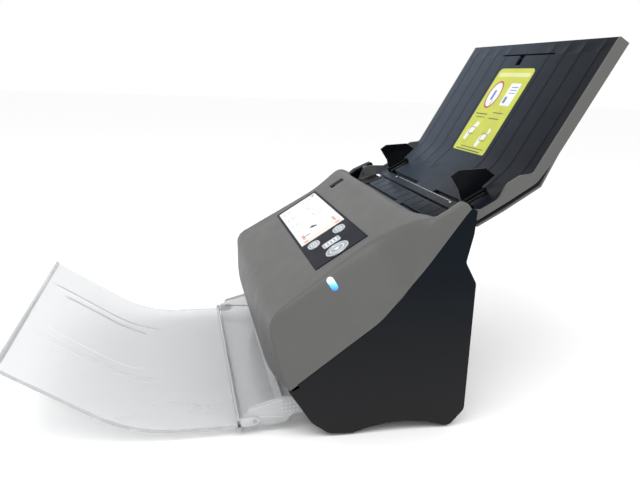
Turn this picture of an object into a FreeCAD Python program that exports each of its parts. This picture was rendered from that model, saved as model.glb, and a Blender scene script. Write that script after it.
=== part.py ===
import FreeCAD, Part
import math
import os

from FreeCAD import Vector

# Sheet fed document scanner. Millimetres, +Z up, +X the scanner's right side, -Y its front.
# Profiles are drawn in the Y-Z plane with y = 0 midway between the feet; write() moves every
# piece so that the origin is the centre of the whole outline's base.

# ---- driving dimensions ----
HALF_WIDTH = 158.0            # outer face of the side covers
SIDE_INNER = 147.0            # inner edge of the side covers' rims
SHELL = 2.8                   # wall of the plastic shells
GAP = 0.6                     # shut line between the front cover and the side covers

FRONT_LOW = (-97.0, 45.0)     # where the front cover meets the side cover at the front
SPLIT_KINK = (-18.0, 105.0)
SPLIT_MID = (19.0, 151.0)
SPLIT_TOP = (54.0, 201.0)
FRONT_BULGE = (-110.5, 45.0)  # the front face reaches this far down and forward between its swept ends
BULGE_HALF = 112.0            # half width of that part; its ends taper back to the side covers
PANEL_LOW = (-115.0, 107.0)   # lower front edge of the slanted panel
PANEL_TOP = (13.0, 191.5)     # where the panel rolls over into the hopper
HOPPER_EDGE = (30.0, 184.0)

PATH_TOP = (22.0, 168.0)      # the straight paper path starts here
PATH_ANGLE = math.radians(48.8)
PATH_HALF = 118.0             # half width of the paper guides
PATH_GAP = 1.5                # half of the gap between the paper guides
EXIT_U = 162.0                # end of the paper path

ROLLER_R = 12.0
ROLLER_V = -ROLLER_R          # roller axes lie this far under the path
SHAFT_R = 4.0
RUN_FIT = 0.05                # radial clearance of a shaft in its bearing
ROLLER_STATIONS = {"pick": 14.0, "transport": 68.0, "exit": 148.0}
TYRE_SPANS = {"pick": [(12, 34)], "transport": [(22, 42), (62, 80)], "exit": [(22, 42), (62, 80)]}

CHASSIS_X = 143.5             # inner face of a chassis plate
CHASSIS_T = 2.0
PULLEY_X = (-135.0, -131.0)
PULLEY_R = 9.0
GEAR_X = (-129.0, -124.0)
MODULE = 1.0
GEAR_TEETH = 36
PINION_TEETH = 12
MOTOR_X = (-120.0, -84.0)
MOTOR_R = 16.5

COVER_HINGE_R = 4.0           # corner radius of the front cover, centred on its hinge
PIN_R = 2.0
CHASSIS_EAR_R = 3.6

TRAY_PIVOT = (53.0, 190.0)
TRAY_HALF = 141.0
TRAY_TOP = (184.5, 347.0)     # front edge of the input tray's upper end
TRAY_BEND = (118.0, 229.0)
TRAY_FOOT = (62.5, 189.6)
TRAY_THICK = 10.5
TRAY_FLOOR = [TRAY_FOOT, (75.0, 194.0), (88.0, 202.0), TRAY_BEND, TRAY_TOP]
SLOT_POINT = (75.0, 194.0)    # the guides' slot crosses the tray floor here
SLOT_ANGLE = math.radians(30.0)
GUIDE_X = 105.0               # inner faces of the paper guides
GUIDE_TRAVEL_IN = 77.0
GUIDE_TRAVEL_OUT = 5.0
RACK_TEETH = 16
RACK_TOP = -2.7               # upper face of the racks, square to the tray floor
RACK_T = 2.4
WING_AXIS_N = 6.0
WING_PIN_R = 1.2
WING_FIT = 0.1                # radial clearance of the wing on its pin

OUT_HALF = 146.0              # half width of the output flap
OUT_ARM_X = (139.5, 142.5)    # side walls of the output tray's inner section
OUT_PIVOT = (-74.0, 22.0)
FLAP_PIVOT = (-124.0, 13.0)
FLAP_Z = 8.0
FLAP_FLAT_END = -188.0
FLAP_BEND_R = 130.0
FLAP_RISE = math.radians(33.0)
FLAP_RUN = 84.0
TIP_BAND_R = 2.4
SHEET = 3.0

DISPLAY_HALF = 114.0
DISPLAY_T = (56.5, 112.5)     # along the panel, from its lower front edge
SCREEN_X = (-111.5, 38.5)
KEYS = {"scan_key": (99.0, 84.0), "wide_key": (76.0, 84.0), "lower_key": (55.0, 69.5), "upper_key": (55.0, 98.5)}
KEY_LENGTHS = {"scan_key": (24.0, 24.0), "wide_key": (12.0, 19.0), "lower_key": (18.0, 13.0), "upper_key": (18.0, 13.0)}
KEY_PLAY = 0.35
LAMP_T = 62.0
LAMP_SIZE = (6.0, 13.0)

FOOT_R = 8.0
FOOT_H = 4.0
FOOT_PLACES = [(-125.0, -50.0), (125.0, -50.0), (-125.0, 46.0), (125.0, 46.0)]


# ---- frames and outlines ----
def unit(angle):
    return math.cos(angle), math.sin(angle)


PANEL_ANGLE = math.atan2(PANEL_TOP[1] - PANEL_LOW[1], PANEL_TOP[0] - PANEL_LOW[0])


def along(origin, angle, length, height):
    """A point length along a line at angle from origin, and height to its left, in the Y-Z plane."""
    c, s = unit(angle)
    return origin[0] + length * c - height * s, origin[1] + length * s + height * c


def path_point(u, v):
    """A point u down the paper path from its top; v is positive towards the front cover."""
    return along(PATH_TOP, PATH_ANGLE + math.pi, u, -v)


def panel_point(t, w):
    """A point t up the panel from its lower front edge, w outwards from its surface."""
    return along(PANEL_LOW, PANEL_ANGLE, t, w)


def slot_point(u, n):
    """A point u up the tray floor from the guides' slot, n above the floor."""
    return along(SLOT_POINT, SLOT_ANGLE, u, n)


def vec(point, x=0.0):
    return Vector(x, point[0], point[1])


def outline(points):
    """A closed wire in the Y-Z plane. A point with a third value has its corner rounded to that radius."""
    edges = []
    start = first = None
    count = len(points)
    for i in range(count):
        before, here, after = points[i - 1], points[i], points[(i + 1) % count]
        p = vec(here)
        entry = leave = p
        if len(here) > 2:
            a = (vec(before) - p).normalize()
            b = (vec(after) - p).normalize()
            half = a.getAngle(b) / 2
            reach = here[2] / math.tan(half)
            entry = p + a * reach
            leave = p + b * reach
            middle = (a + b).normalize()
            centre = p + middle * (here[2] / math.sin(half))
        if start is not None and start.distanceToPoint(entry) > 1e-6:
            edges.append(Part.LineSegment(start, entry).toShape())
        if first is None:
            first = entry
        if len(here) > 2:
            edges.append(Part.Arc(entry, centre - middle * here[2], leave).toShape())
        start = leave
    if start.distanceToPoint(first) > 1e-6:
        edges.append(Part.LineSegment(start, first).toShape())
    return Part.Wire(edges)


def prism(points, x0, x1):
    wire = points if isinstance(points, Part.Wire) else outline(points)
    solid = Part.Face(wire).extrude(Vector(x1 - x0, 0, 0))
    solid.translate(Vector(x0, 0, 0))
    return solid


def inset_prism(points, inset, x0, x1):
    face = Part.Face(outline(points)).makeOffset2D(-inset)
    solid = face.extrude(Vector(x1 - x0, 0, 0))
    solid.translate(Vector(x0, 0, 0))
    return solid


def box(x0, x1, y0, y1, z0, z1):
    return Part.makeBox(x1 - x0, y1 - y0, z1 - z0, Vector(x0, y0, z0))


def rod(centre, radius, x0, x1):
    return Part.makeCylinder(radius, x1 - x0, vec(centre, x0), Vector(1, 0, 0))


def frame_box(point, x0, x1, a0, a1, b0, b1):
    """A box with its long sides along one of the slanted frames; point is that frame's function."""
    return prism([point(a0, b0), point(a1, b0), point(a1, b1), point(a0, b1)], x0, x1)


def both_sides(solid):
    return [solid, solid.mirror(Vector(0, 0, 0), Vector(1, 0, 0))]


def fuse(solids):
    whole = solids[0].multiFuse(solids[1:]) if len(solids) > 1 else solids[0]
    return whole.removeSplitter()


def cut(solid, tools):
    return solid.cut(Part.makeCompound(tools)).removeSplitter()


pieces = {}


def add(name, *solids):
    pieces[name] = list(solids)


# ---- housing ----
SPLIT_LINE = [FRONT_LOW, SPLIT_KINK + (40.0,), SPLIT_MID + (90.0,), SPLIT_TOP]


def lifted_split(lift):
    """The shut line between grey cover and black sides, moved up square to itself by lift."""
    steps = [(-0.6, 0.8), (-0.7, 0.71), (-0.8, 0.6), (-0.81, 0.58)]
    return [(p[0] + lift * s[0], p[1] + lift * s[1]) + tuple(p[2:]) for p, s in zip(SPLIT_LINE, steps)]


REAR_LINE = [(60.0, 201.0, 2.0), (59.0, 180.0, 12.0), (54.0, 155.0, 5.0), (65.0, 136.0, 7.0), (65.0, 16.0, 8.0),
             (52.0, 1.5, 6.0)]
LEFT_WALL = [(32.0, 186.0, 3.0), (37.0, 190.5, 8.0), (54.0, 198.5, 8.0)]    # the left side closes the hopper's end


def side_cover(top):
    """The right side cover; top is the part of its outline above the middle of the shut line."""
    low = [(48.0, 1.5), (-40.0, 1.5), (-60.0, 2.5, 12.0), (-76.0, 14.0, 14.0)]
    points = SPLIT_LINE[:3] + top + REAR_LINE + low
    body = prism(points, SIDE_INNER, HALF_WIDTH)
    hollow = inset_prism(points, SHELL, SIDE_INNER - 1, HALF_WIDTH - SHELL)
    arch = Part.Wire([Part.Arc(vec((-40.0, 1.0)), vec((4.0, 9.0)), vec((48.0, 1.0))).toShape(),
                      Part.LineSegment(vec((48.0, 1.0)), vec((-40.0, 1.0))).toShape()])
    lip = prism(Part.Wire([Part.Arc(vec((-44.0, 1.5)), vec((4.0, 12.0)), vec((52.0, 1.5))).toShape(),
                           Part.LineSegment(vec((52.0, 1.5)), vec((-44.0, 1.5))).toShape()]),
                SIDE_INNER, HALF_WIDTH - SHELL)
    hinge_room = rod(cover_hinge(), COVER_HINGE_R + GAP, SIDE_INNER - 1, HALF_WIDTH + 1)
    return cut(fuse([cut(body, [hollow]), lip]), [prism(arch, SIDE_INNER - 1, HALF_WIDTH + 1), hinge_room])


def cover_hinge():
    """The centre of the round that closes the front cover's lower corner."""
    low = lifted_split(GAP)
    a = (vec(PANEL_LOW) - vec(low[0])).normalize()
    b = (vec(low[1]) - vec(low[0])).normalize()
    middle = vec(low[0]) + (a + b).normalize() * (COVER_HINGE_R / math.sin(a.getAngle(b) / 2))
    return middle.y, middle.z


def rear_cover():
    outer = [(65.0, 6.6), (65.0, 136.0, 10.0), (54.0, 155.0, 14.0), (57.4, 172.0)]
    inner = [(54.5, 172.6), (50.9, 154.2, 16.0), (62.0, 135.0, 8.0), (62.0, 6.6)]
    wall = prism(outer + inner, -SIDE_INNER + 0.3, SIDE_INNER - 0.3)
    vents = [box(x, x + 3, 60, 67, 96, 122) for x in range(20, 111, 9)]
    ports = [box(x0 - 0.3, x1 + 0.3, 60, 67, z0 - 0.3, z1 + 0.3) for x0, x1, z0, z1 in PORTS.values()]
    lock = box(122, 129, 60, 67, 26, 29.4)
    screws = [Part.makeCylinder(1.8, 12, Vector(x, 58, z), Vector(0, 1, 0)) for x, z in SCREW_PLACES]
    return cut(wall, vents + ports + [lock] + screws)


PORTS = {"dc_inlet": (-112, -98, 20, 32), "usb_socket": (-80, -67, 19, 31), "network_socket": (-54, -37, 19, 34)}
PORT_HOLLOWS = {"dc_inlet": (-107.9, -102.1, 23.1, 28.9), "usb_socket": (-78, -69, 21, 29),
                "network_socket": (-51.5, -39.5, 21.5, 31)}
SCREW_PLACES = [(-134.0, 14.0), (134.0, 14.0), (-134.0, 128.0), (134.0, 128.0)]


def socket(name):
    x0, x1, z0, z1 = PORTS[name]
    shell = box(x0, x1, 51.6, 65.6, z0, z1)
    a0, a1, b0, b1 = PORT_HOLLOWS[name]
    if name == "dc_inlet":
        hollow = Part.makeCylinder((a1 - a0) / 2, 11, Vector((a0 + a1) / 2, 55.6, (b0 + b1) / 2), Vector(0, 1, 0))
    else:
        hollow = box(a0, a1, 55.6, 66.6, b0, b1)
    return cut(shell, [hollow])


def base_plate():
    plate = box(-SIDE_INNER + 0.3, SIDE_INNER - 0.3, -63.3, 61.6, FOOT_H, 6.6)
    ribs = [box(x, x + 2, -60, 56, 6.6, 10.6) for x in (-60, -20, 20, 60)]
    vents = [box(-40, 40, y, y + 3, 0, 12) for y in (-30, -20, -10)]
    return cut(fuse([plate] + ribs), vents)


def exit_lip():
    """The black wall under the paper exit, between the chassis plates."""
    top = path_point(EXIT_U + 2, -7)
    return prism([(-66.3, 4.2), (-63.5, 4.2), (-63.5, 12.0), (-74.5, 32.0), (top[0] + 4, top[1] - 4), top,
                  (top[0] - 2.5, top[1] - 3.5), (-78.0, 30.0, 6.0)], -136.0, 136.0)


NECK_ANGLE = math.radians(20.0)


def chassis_plate():
    front = cover_hinge()
    points = [(-60, 8), (56, 8), (57, 130), (48.5, 152), (49, 176), (59, 184, 4), (59, 196, 4), (47, 196, 4),
              (40, 178, 6), (30, 168), (21, 152), (-16, 112), along(front, NECK_ANGLE, 2, CHASSIS_EAR_R),
              along(front, NECK_ANGLE, 2, -CHASSIS_EAR_R), (-84, 38), (-79.5, 28, 4), (-79.5, 17, 5)]
    plate = fuse([prism(points, CHASSIS_X, CHASSIS_X + CHASSIS_T),
                  rod(front, CHASSIS_EAR_R, CHASSIS_X, CHASSIS_X + CHASSIS_T)])
    holes = [rod(path_point(u, ROLLER_V), 7.0, 140, 150) for u in ROLLER_STATIONS.values()]
    holes.append(rod(TRAY_PIVOT, 3.0 + RUN_FIT, 140, 150))
    holes.append(rod(OUT_PIVOT, 3.0 + RUN_FIT, 140, 150))
    holes.append(rod(front, PIN_R, 140, 150))
    return cut(plate, holes)


def bushes():
    rings = []
    for u in ROLLER_STATIONS.values():
        centre = path_point(u, ROLLER_V)
        ring = fuse([rod(centre, 7.0, CHASSIS_X, CHASSIS_X + CHASSIS_T), rod(centre, 8.2, CHASSIS_X - 1.2, CHASSIS_X)])
        rings += both_sides(cut(ring, [rod(centre, SHAFT_R + RUN_FIT, 130, 150)]))
    return rings


def build_housing():
    add("right_side_cover", side_cover(SPLIT_LINE[3:]))
    add("left_side_cover", both_sides(side_cover(LEFT_WALL))[1])
    add("rear_cover", rear_cover())
    add("base_plate", base_plate())
    add("exit_lip", exit_lip())
    right, left = both_sides(chassis_plate())
    add("chassis_right", right)
    add("chassis_left", left)
    add("cross_bars", *[rod(c, 4.0, -CHASSIS_X, CHASSIS_X) for c in ((30.0, 84.0), (-44.0, 34.0))])
    add("shaft_bushes", *bushes())
    add("rubber_feet", *[Part.makeCone(FOOT_R - 1, FOOT_R, FOOT_H, Vector(x, y, 0)) for x, y in FOOT_PLACES])
    add("rear_screws", *[fuse([Part.makeCylinder(3.4, 1.4, Vector(x, 65, z), Vector(0, 1, 0)),
                               Part.makeCylinder(1.8, 8, Vector(x, 57, z), Vector(0, 1, 0))])
                         for x, z in SCREW_PLACES])
    add("cover_hinge_pins", *both_sides(rod(cover_hinge(), PIN_R, CHASSIS_X, 151.0)))
    add("main_board", box(-118, 40, 50, 51.6, 12, 92))
    for name in PORTS:
        add(name, socket(name))


# ---- paper path in the base ----
def roller_windows(v0, v1):
    cuts = []
    for name, u in ROLLER_STATIONS.items():
        for x0, x1 in TYRE_SPANS[name]:
            window = frame_box(path_point, x0 - 2, x1 + 2, u - ROLLER_R + 1, u + ROLLER_R - 1, v0, v1)
            cuts += both_sides(window)
    return cuts


def hopper_plate():
    """The raised plate that the lowest sheet lies on, with a lower ledge at each side."""
    front, rear = (31.5, 177.6), (60.0, 188.2)
    slope = math.atan2(rear[1] - front[1], rear[0] - front[0])
    length = math.dist(front, rear)

    def point(a, b):
        return along(front, slope, a, b)
    centre = frame_box(point, -100, 100, 0, length, -2.4, 0)
    ledges = frame_box(point, -132, 132, 2, length - 1, -7.4, -5)
    steps = both_sides(frame_box(point, 98, 100, 2, length - 1, -7.4, -1))
    return fuse([centre, ledges] + steps)


def lower_guide():
    plate = frame_box(path_point, -PATH_HALF, PATH_HALF, -10, EXIT_U, -PATH_GAP - 2.5, -PATH_GAP)
    scan = frame_box(path_point, -112, 112, 94, 126, -10, 0)
    return cut(plate, roller_windows(-10, 0) + [scan])


def scan_unit(side, u0, u1):
    """A contact image sensor bar: a trough under a glass. side is -1 in the base and 1 in the cover."""
    low, high = sorted((side * (PATH_GAP + 1.6), side * 20.0))
    body = frame_box(path_point, -111, 111, u0, u1, low, high)
    well_low, well_high = sorted((side * 0.0, side * 12.0))
    well = frame_box(path_point, -107, 107, u0 + 3, u1 - 3, well_low, well_high)
    glass_low, glass_high = sorted((side * (PATH_GAP + 0.1), side * (PATH_GAP + 1.6)))
    return cut(body, [well]), frame_box(path_point, -111, 111, u0, u1, glass_low, glass_high)


def ring(centre, outer, inner, x0, x1):
    return cut(rod(centre, outer, x0, x1), [rod(centre, inner, x0 - 1, x1 + 1)])


def build_rollers():
    for name, u in ROLLER_STATIONS.items():
        centre = path_point(u, ROLLER_V)
        end = CHASSIS_X + CHASSIS_T + 0.5
        add(name + "_shaft", rod(centre, SHAFT_R, -end, end))
        tyres = []
        for x0, x1 in TYRE_SPANS[name]:
            tyres += both_sides(ring(centre, ROLLER_R, SHAFT_R, x0, x1))
        add(name + "_tyres", *tyres)
        wheel = ring(centre, PULLEY_R, SHAFT_R, *PULLEY_X)
        if name == "transport":
            gear = spur_gear(GEAR_TEETH, centre, gear_phase(), *GEAR_X)
            wheel = fuse([wheel, ring(centre, 7.0, SHAFT_R, PULLEY_X[1], GEAR_X[0]),
                          cut(gear, [rod(centre, SHAFT_R, -140, -110)])])
        add(name + "_pulley", wheel)


def drive_belt():
    """A flat belt round the pick and exit pulleys; the transport pulley rides between its runs."""
    a = path_point(ROLLER_STATIONS["pick"], ROLLER_V)
    b = path_point(ROLLER_STATIONS["exit"], ROLLER_V)

    def loop(radius):
        c, s = unit(PATH_ANGLE)
        left = (-s * radius, c * radius)
        corners = [(p[0] + k * left[0], p[1] + k * left[1]) for p, k in ((a, 1), (b, 1), (b, -1), (a, -1))]
        tip_a = (a[0] + c * radius, a[1] + s * radius)
        tip_b = (b[0] - c * radius, b[1] - s * radius)
        return Part.Wire([Part.LineSegment(vec(corners[0]), vec(corners[1])).toShape(),
                          Part.Arc(vec(corners[1]), vec(tip_b), vec(corners[2])).toShape(),
                          Part.LineSegment(vec(corners[2]), vec(corners[3])).toShape(),
                          Part.Arc(vec(corners[3]), vec(tip_a), vec(corners[0])).toShape()])
    inner = PULLEY_R + 0.25
    return cut(prism(loop(inner + 1.4), *PULLEY_X), [prism(loop(inner), PULLEY_X[0] - 1, PULLEY_X[1] + 1)])


# ---- gears ----
def involute(base, angle):
    return base * (math.cos(angle) + angle * math.sin(angle)), base * (math.sin(angle) - angle * math.cos(angle))


def tooth_flank(teeth, steps=5, backlash=0.16):
    """Points of one flank, from root to tip, as (radius, angle from the tooth's middle)."""
    pitch = MODULE * teeth / 2
    base = pitch * math.cos(math.radians(20))
    tip = pitch + 0.9 * MODULE
    tangent = math.tan(math.radians(20))
    half = math.pi / 2 / teeth + tangent - math.radians(20) - backlash / 2 / pitch
    low = max(base, pitch - 1.1 * MODULE)
    flank = [(pitch - 1.35 * MODULE, None)]
    for i in range(steps):
        radius = low + (tip - low) * i / (steps - 1)
        roll = math.sqrt(max(radius ** 2 / base ** 2 - 1, 0))
        flank.append((radius, half - (roll - math.atan(roll))))
    flank[0] = (flank[0][0], flank[1][1])
    return flank


def spur_gear(teeth, centre, phase, x0, x1):
    flank = tooth_flank(teeth)
    points = []
    for k in range(teeth):
        middle = phase + 2 * math.pi * k / teeth
        polar = [(r, middle - a) for r, a in flank] + [(r, middle + a) for r, a in reversed(flank)]
        points += [(centre[0] + r * math.cos(a), centre[1] + r * math.sin(a)) for r, a in polar]
    return prism(points, x0, x1)


MOTOR_DIRECTION = math.radians(-34.0)


def motor_centre():
    reach = MODULE * (GEAR_TEETH + PINION_TEETH) / 2
    c, s = unit(MOTOR_DIRECTION)
    y, z = path_point(ROLLER_STATIONS["transport"], ROLLER_V)
    return y + reach * c, z + reach * s


def gear_phase():
    """A gear tooth points straight at the motor pinion, which has a gap there."""
    return MOTOR_DIRECTION


def build_drive():
    centre = motor_centre()
    add("drive_belt", drive_belt())
    add("drive_motor", cut(fuse([rod(centre, MOTOR_R, *MOTOR_X), rod(centre, 5.0, MOTOR_X[0] - 2, MOTOR_X[0])]),
                           [rod(centre, 1.5 + RUN_FIT, MOTOR_X[0] - 3, MOTOR_X[0] + 14)]))
    pinion = spur_gear(PINION_TEETH, centre, MOTOR_DIRECTION + math.pi + math.pi / PINION_TEETH, *GEAR_X)
    add("motor_pinion", fuse([pinion, rod(centre, 1.5, GEAR_X[0] - 3, MOTOR_X[0] + 13)]))


def build_path():
    add("hopper_plate", hopper_plate())
    add("lower_guide", lower_guide())
    body, glass = scan_unit(-1, 96, 124)
    add("lower_scan_unit", body)
    add("lower_scan_glass", glass)
    build_rollers()
    build_drive()


# ---- front cover ----
SHOULDER = [(-30.0, 151.0, 62.0), (0.0, 148.0, 60.0), (75.0, 135.0, 56.0), (112.0, 130.0, 46.0), (138.0, 142.0, 22.0),
            (160.0, 157.0, 3.0)]


def shoulder_wedge(shift):
    """The corner taken off the cover's right side: from the crease on the panel out to the shut line."""
    rings = []
    for t, crease, depth in SHOULDER:
        high = vec(panel_point(t, 6.0), crease - shift - 6.0 * (HALF_WIDTH - crease) / depth)
        out = vec(panel_point(t, 6.0), HALF_WIDTH + 8.0)
        low = vec(panel_point(t, -depth), HALF_WIDTH - shift)
        rings.append(Part.makePolygon([high, out, low, high]))
    return Part.makeLoft(rings, True, True)


def cover_profiles():
    """Outlines of the front cover: its middle, its bulging front, its right side with the ear, and its left side."""
    split = lifted_split(GAP)
    corner = split[0] + (COVER_HINGE_R,)
    nose = [corner, PANEL_LOW + (14.0,)]
    middle = nose + [PANEL_TOP + (12.0,), HOPPER_EDGE + (1.5,), path_point(-6, 5.5), path_point(8, 4.5),
                     path_point(EXIT_U, 4.5)]
    ear = [PANEL_TOP + (25.0,), (31.0, 197.0, 20.0), (47.5, 208.5, 5.0), (53.4, 203.5, 2.0)]
    right = nose + ear + [split[3], split[2], split[1]]
    left = nose + [PANEL_TOP + (12.0,), (30.6, 187.4, 2.0), (30.8, 184.6), split[2], split[1]]
    bulge = [FRONT_BULGE + (COVER_HINGE_R,)] + middle[1:]
    return middle, bulge, right, left


def bulge_end():
    """The tapered end of the front's bulge, from its full height down into the plain front wall."""
    full = [(-114.4, 98.8), (-110.5, 46.5), (-96.0, 48.5), (-110.5, 97.0)]
    gone = [(-111.0, 97.0), (-97.3, 50.0), (-95.5, 50.0), (-109.5, 96.0)]
    rings = [Part.makePolygon([vec(p, x) for p in line + line[:1]])
             for line, x in ((full, BULGE_HALF), (gone, SIDE_INNER - 4.0))]
    return Part.makeLoft(rings, True, True)


def front_cover_shell():
    middle, bulge, right, left = cover_profiles()
    edge = SIDE_INNER - 0.5
    outer = [prism(middle, -edge, edge), prism(right, edge, HALF_WIDTH), prism(left, -HALF_WIDTH, -edge),
             prism(bulge, -BULGE_HALF, BULGE_HALF)] + both_sides(bulge_end())
    deep = HALF_WIDTH - SHELL
    inner = [inset_prism(middle, SHELL, -edge, edge), inset_prism(right, SHELL, edge - 1, deep),
             inset_prism(left, SHELL, -deep, 1 - edge),
             inset_prism(bulge, SHELL, SHELL - BULGE_HALF, BULGE_HALF - SHELL)]
    outer = cut(fuse(outer), both_sides(shoulder_wedge(0.0)))
    inner = cut(fuse(inner), both_sides(shoulder_wedge(SHELL + 0.3)))
    shell = outer.cut(inner)
    open_path = frame_box(path_point, -134, 134, 2, EXIT_U - 4, 0, 8)
    surround = frame_box(panel_point, -DISPLAY_HALF, DISPLAY_HALF, DISPLAY_T[0], DISPLAY_T[1], -8, 8)
    lever_slot = frame_box(panel_point, LEVER_X[0] - 1, LEVER_X[1] + 1, LEVER_T[0] - 6, LEVER_T[1] + 1, -9, 9)
    shell = shell.cut(Part.makeCompound([open_path, surround, lever_slot, lamp_pill(LAMP_SIZE, 0.3, -6, 8)]))
    lug = rod(cover_hinge(), COVER_HINGE_R - 0.1, edge, HALF_WIDTH - SHELL)
    bores = both_sides(rod(cover_hinge(), PIN_R + RUN_FIT, edge - 1, 151.5))
    return cut(fuse([shell] + both_sides(lug)), bores + both_sides(chassis_room()))


def chassis_room():
    """Space in the front cover for the chassis plate's upper edge and its hinge ear."""
    hinge, reach = cover_hinge(), CHASSIS_EAR_R + 0.8
    slope = math.atan2(SPLIT_KINK[1] - FRONT_LOW[1], SPLIT_KINK[0] - FRONT_LOW[0])
    corners = [along(hinge, slope, a, b) for a, b in ((-9, -20), (46, -20), (46, reach), (0, reach), (-9, -2))]
    x0, x1 = CHASSIS_X - 0.7, SIDE_INNER - 0.4
    return fuse([rod(hinge, reach, x0, x1), prism(corners, x0, x1)])


LEVER_X = (-98.0, -86.0)
LEVER_T = (134.0, 146.0)


def lamp_frame():
    """Origin, outward normal and downhill direction on the right shoulder at the power lamp."""
    t0, crease0, depth0 = SHOULDER[1]
    t1, crease1, depth1 = SHOULDER[2]
    share = (LAMP_T - t0) / (t1 - t0)
    crease = crease0 + (crease1 - crease0) * share
    depth = depth0 + (depth1 - depth0) * share
    top = vec(panel_point(LAMP_T, 0), crease)
    low = vec(panel_point(LAMP_T, -depth), HALF_WIDTH)
    down = (low - top).normalize()
    up_panel = vec(panel_point(1, 0)) - vec(panel_point(0, 0))
    normal = up_panel.cross(down).normalize()
    if normal.x < 0:
        normal = normal * -1
    return top + down * 9.0, normal, down, up_panel


def lamp_pill(size, grow, n0, n1):
    """A pill-shaped prism square to the shoulder, longer down the slope."""
    origin, normal, down, up_panel = lamp_frame()
    radius = size[0] / 2 + grow
    run = (size[1] - size[0]) / 2
    solids = []
    for k in (-1, 1):
        solids.append(Part.makeCylinder(radius, n1 - n0, origin + down * (k * run) + normal * n0, normal))
    corners = [origin + down * (a * run) + up_panel * (b * radius) + normal * n0
               for a, b in ((-1, -1), (1, -1), (1, 1), (-1, 1))]
    solids.append(Part.Face(Part.makePolygon(corners + corners[:1])).extrude(normal * (n1 - n0)))
    return fuse(solids)


def key_prism(name, grow, w0, w1):
    (x, t), (wide, tall) = KEYS[name], KEY_LENGTHS[name]
    normal = vec(panel_point(0, 1)) - vec(panel_point(0, 0))
    base = vec(panel_point(t, w0), x)
    radius = min(wide, tall) / 2 + grow
    if wide == tall:
        return Part.makeCylinder(radius, w1 - w0, base, normal)
    if name == "wide_key":
        return frame_box(panel_point, x - wide / 2 - grow, x + wide / 2 + grow, t - tall / 2 - grow,
                         t + tall / 2 + grow, w0, w1)
    run = (wide - tall) / 2
    ends = [Part.makeCylinder(radius, w1 - w0, base + Vector(k * run, 0, 0), normal) for k in (-1, 1)]
    bar = frame_box(panel_point, x - run, x + run, t - radius, t + radius, w0, w1)
    return fuse(ends + [bar])


def display_surround():
    t0, t1 = DISPLAY_T
    plate = frame_box(panel_point, -DISPLAY_HALF + 0.2, DISPLAY_HALF - 0.2, t0 + 0.2, t1 - 0.2, -3.0, 0.4)
    screen = frame_box(panel_point, SCREEN_X[0], SCREEN_X[1], t0 + 2.5, t1 - 2.5, -4, 2)
    return cut(plate, [screen] + [key_prism(name, KEY_PLAY, -4, 2) for name in KEYS])


def upper_guide():
    plate = frame_box(path_point, -PATH_HALF, PATH_HALF, 4, EXIT_U - 3, PATH_GAP, PATH_GAP + 2)
    windows = roller_windows(0, 8) + [frame_box(path_point, -112, 112, 100, 132, 0, 8)]
    lugs = []
    for name, radius in PINCH_RADII.items():
        u, v = ROLLER_STATIONS[name], radius + 0.3
        lug = frame_box(path_point, PATH_HALF - 3, PATH_HALF, u - 5, u + 5, PATH_GAP, v + 4.5)
        lugs += both_sides(cut(lug, [rod(path_point(u, v), 2.5 + RUN_FIT, PATH_HALF - 4, PATH_HALF + 1)]))
    return fuse([cut(plate, windows)] + lugs)


PINCH_RADII = {"pick": 11.0, "transport": 8.0, "exit": 6.5}


def pinch_roller(name):
    radius = PINCH_RADII[name]
    centre = path_point(ROLLER_STATIONS[name], radius + 0.3)
    solids = [rod(centre, 2.5, -PATH_HALF + 0.5, PATH_HALF - 0.5)]
    for x0, x1 in TYRE_SPANS[name]:
        solids += both_sides(rod(centre, radius, x0 + 1, x1 - 1))
    return fuse(solids)


def leaf_springs():
    strips = []
    for name in ("transport", "exit"):
        u, v = ROLLER_STATIONS[name], PINCH_RADII[name] + 0.3 + 2.8
        for x in (-52.0, 48.0):
            strips.append(frame_box(path_point, x, x + 4, u - 14, u + 4, v, v + 0.6))
    return strips


def build_cover():
    add("front_cover_shell", front_cover_shell())
    add("display_surround", display_surround())
    t0, t1 = DISPLAY_T
    add("display_screen", frame_box(panel_point, SCREEN_X[0] + 0.1, SCREEN_X[1] - 0.1, t0 + 2.6, t1 - 2.6, -2.8, 0.1))
    add("display_board", frame_box(panel_point, -110, 110, t0 + 3, t1 - 3, -9.5, -7.9))
    add("upper_guide", upper_guide())
    body, glass = scan_unit(1, 102, 130)
    add("upper_scan_unit", body)
    add("upper_scan_glass", glass)
    add("pinch_springs", *leaf_springs())
    add("separation_roller", pinch_roller("pick"))
    add("transport_pinch_roller", pinch_roller("transport"))
    add("exit_pinch_roller", pinch_roller("exit"))
    for name in KEYS:
        cap = key_prism(name, 0.0, -2.2, 1.3)
        x, t = KEYS[name]
        stem = frame_box(panel_point, x - 2, x + 2, t - 2, t + 2, -5.6, -2.2)
        add(name, fuse([cap, stem]))
    add("power_key", lamp_pill(LAMP_SIZE, 0.0, -5.0, 0.4))
    add("release_lever", frame_box(panel_point, LEVER_X[0], LEVER_X[1], LEVER_T[0], LEVER_T[1], -7.5, -1.2))


# ---- input tray ----
def offset_line(points, distance):
    """The open line moved to its right by distance, mitred at its corners."""
    moved = []
    count = len(points)
    for i, p in enumerate(points):
        a = math.atan2(p[1] - points[i - 1][1], p[0] - points[i - 1][0]) if i else None
        b = math.atan2(points[i + 1][1] - p[1], points[i + 1][0] - p[0]) if i + 1 < count else None
        a, b = (b if a is None else a), (a if b is None else b)
        middle = (a + b) / 2
        reach = distance / math.cos((b - a) / 2)
        moved.append((p[0] + reach * math.sin(middle), p[1] - reach * math.cos(middle)))
    return moved


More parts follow.
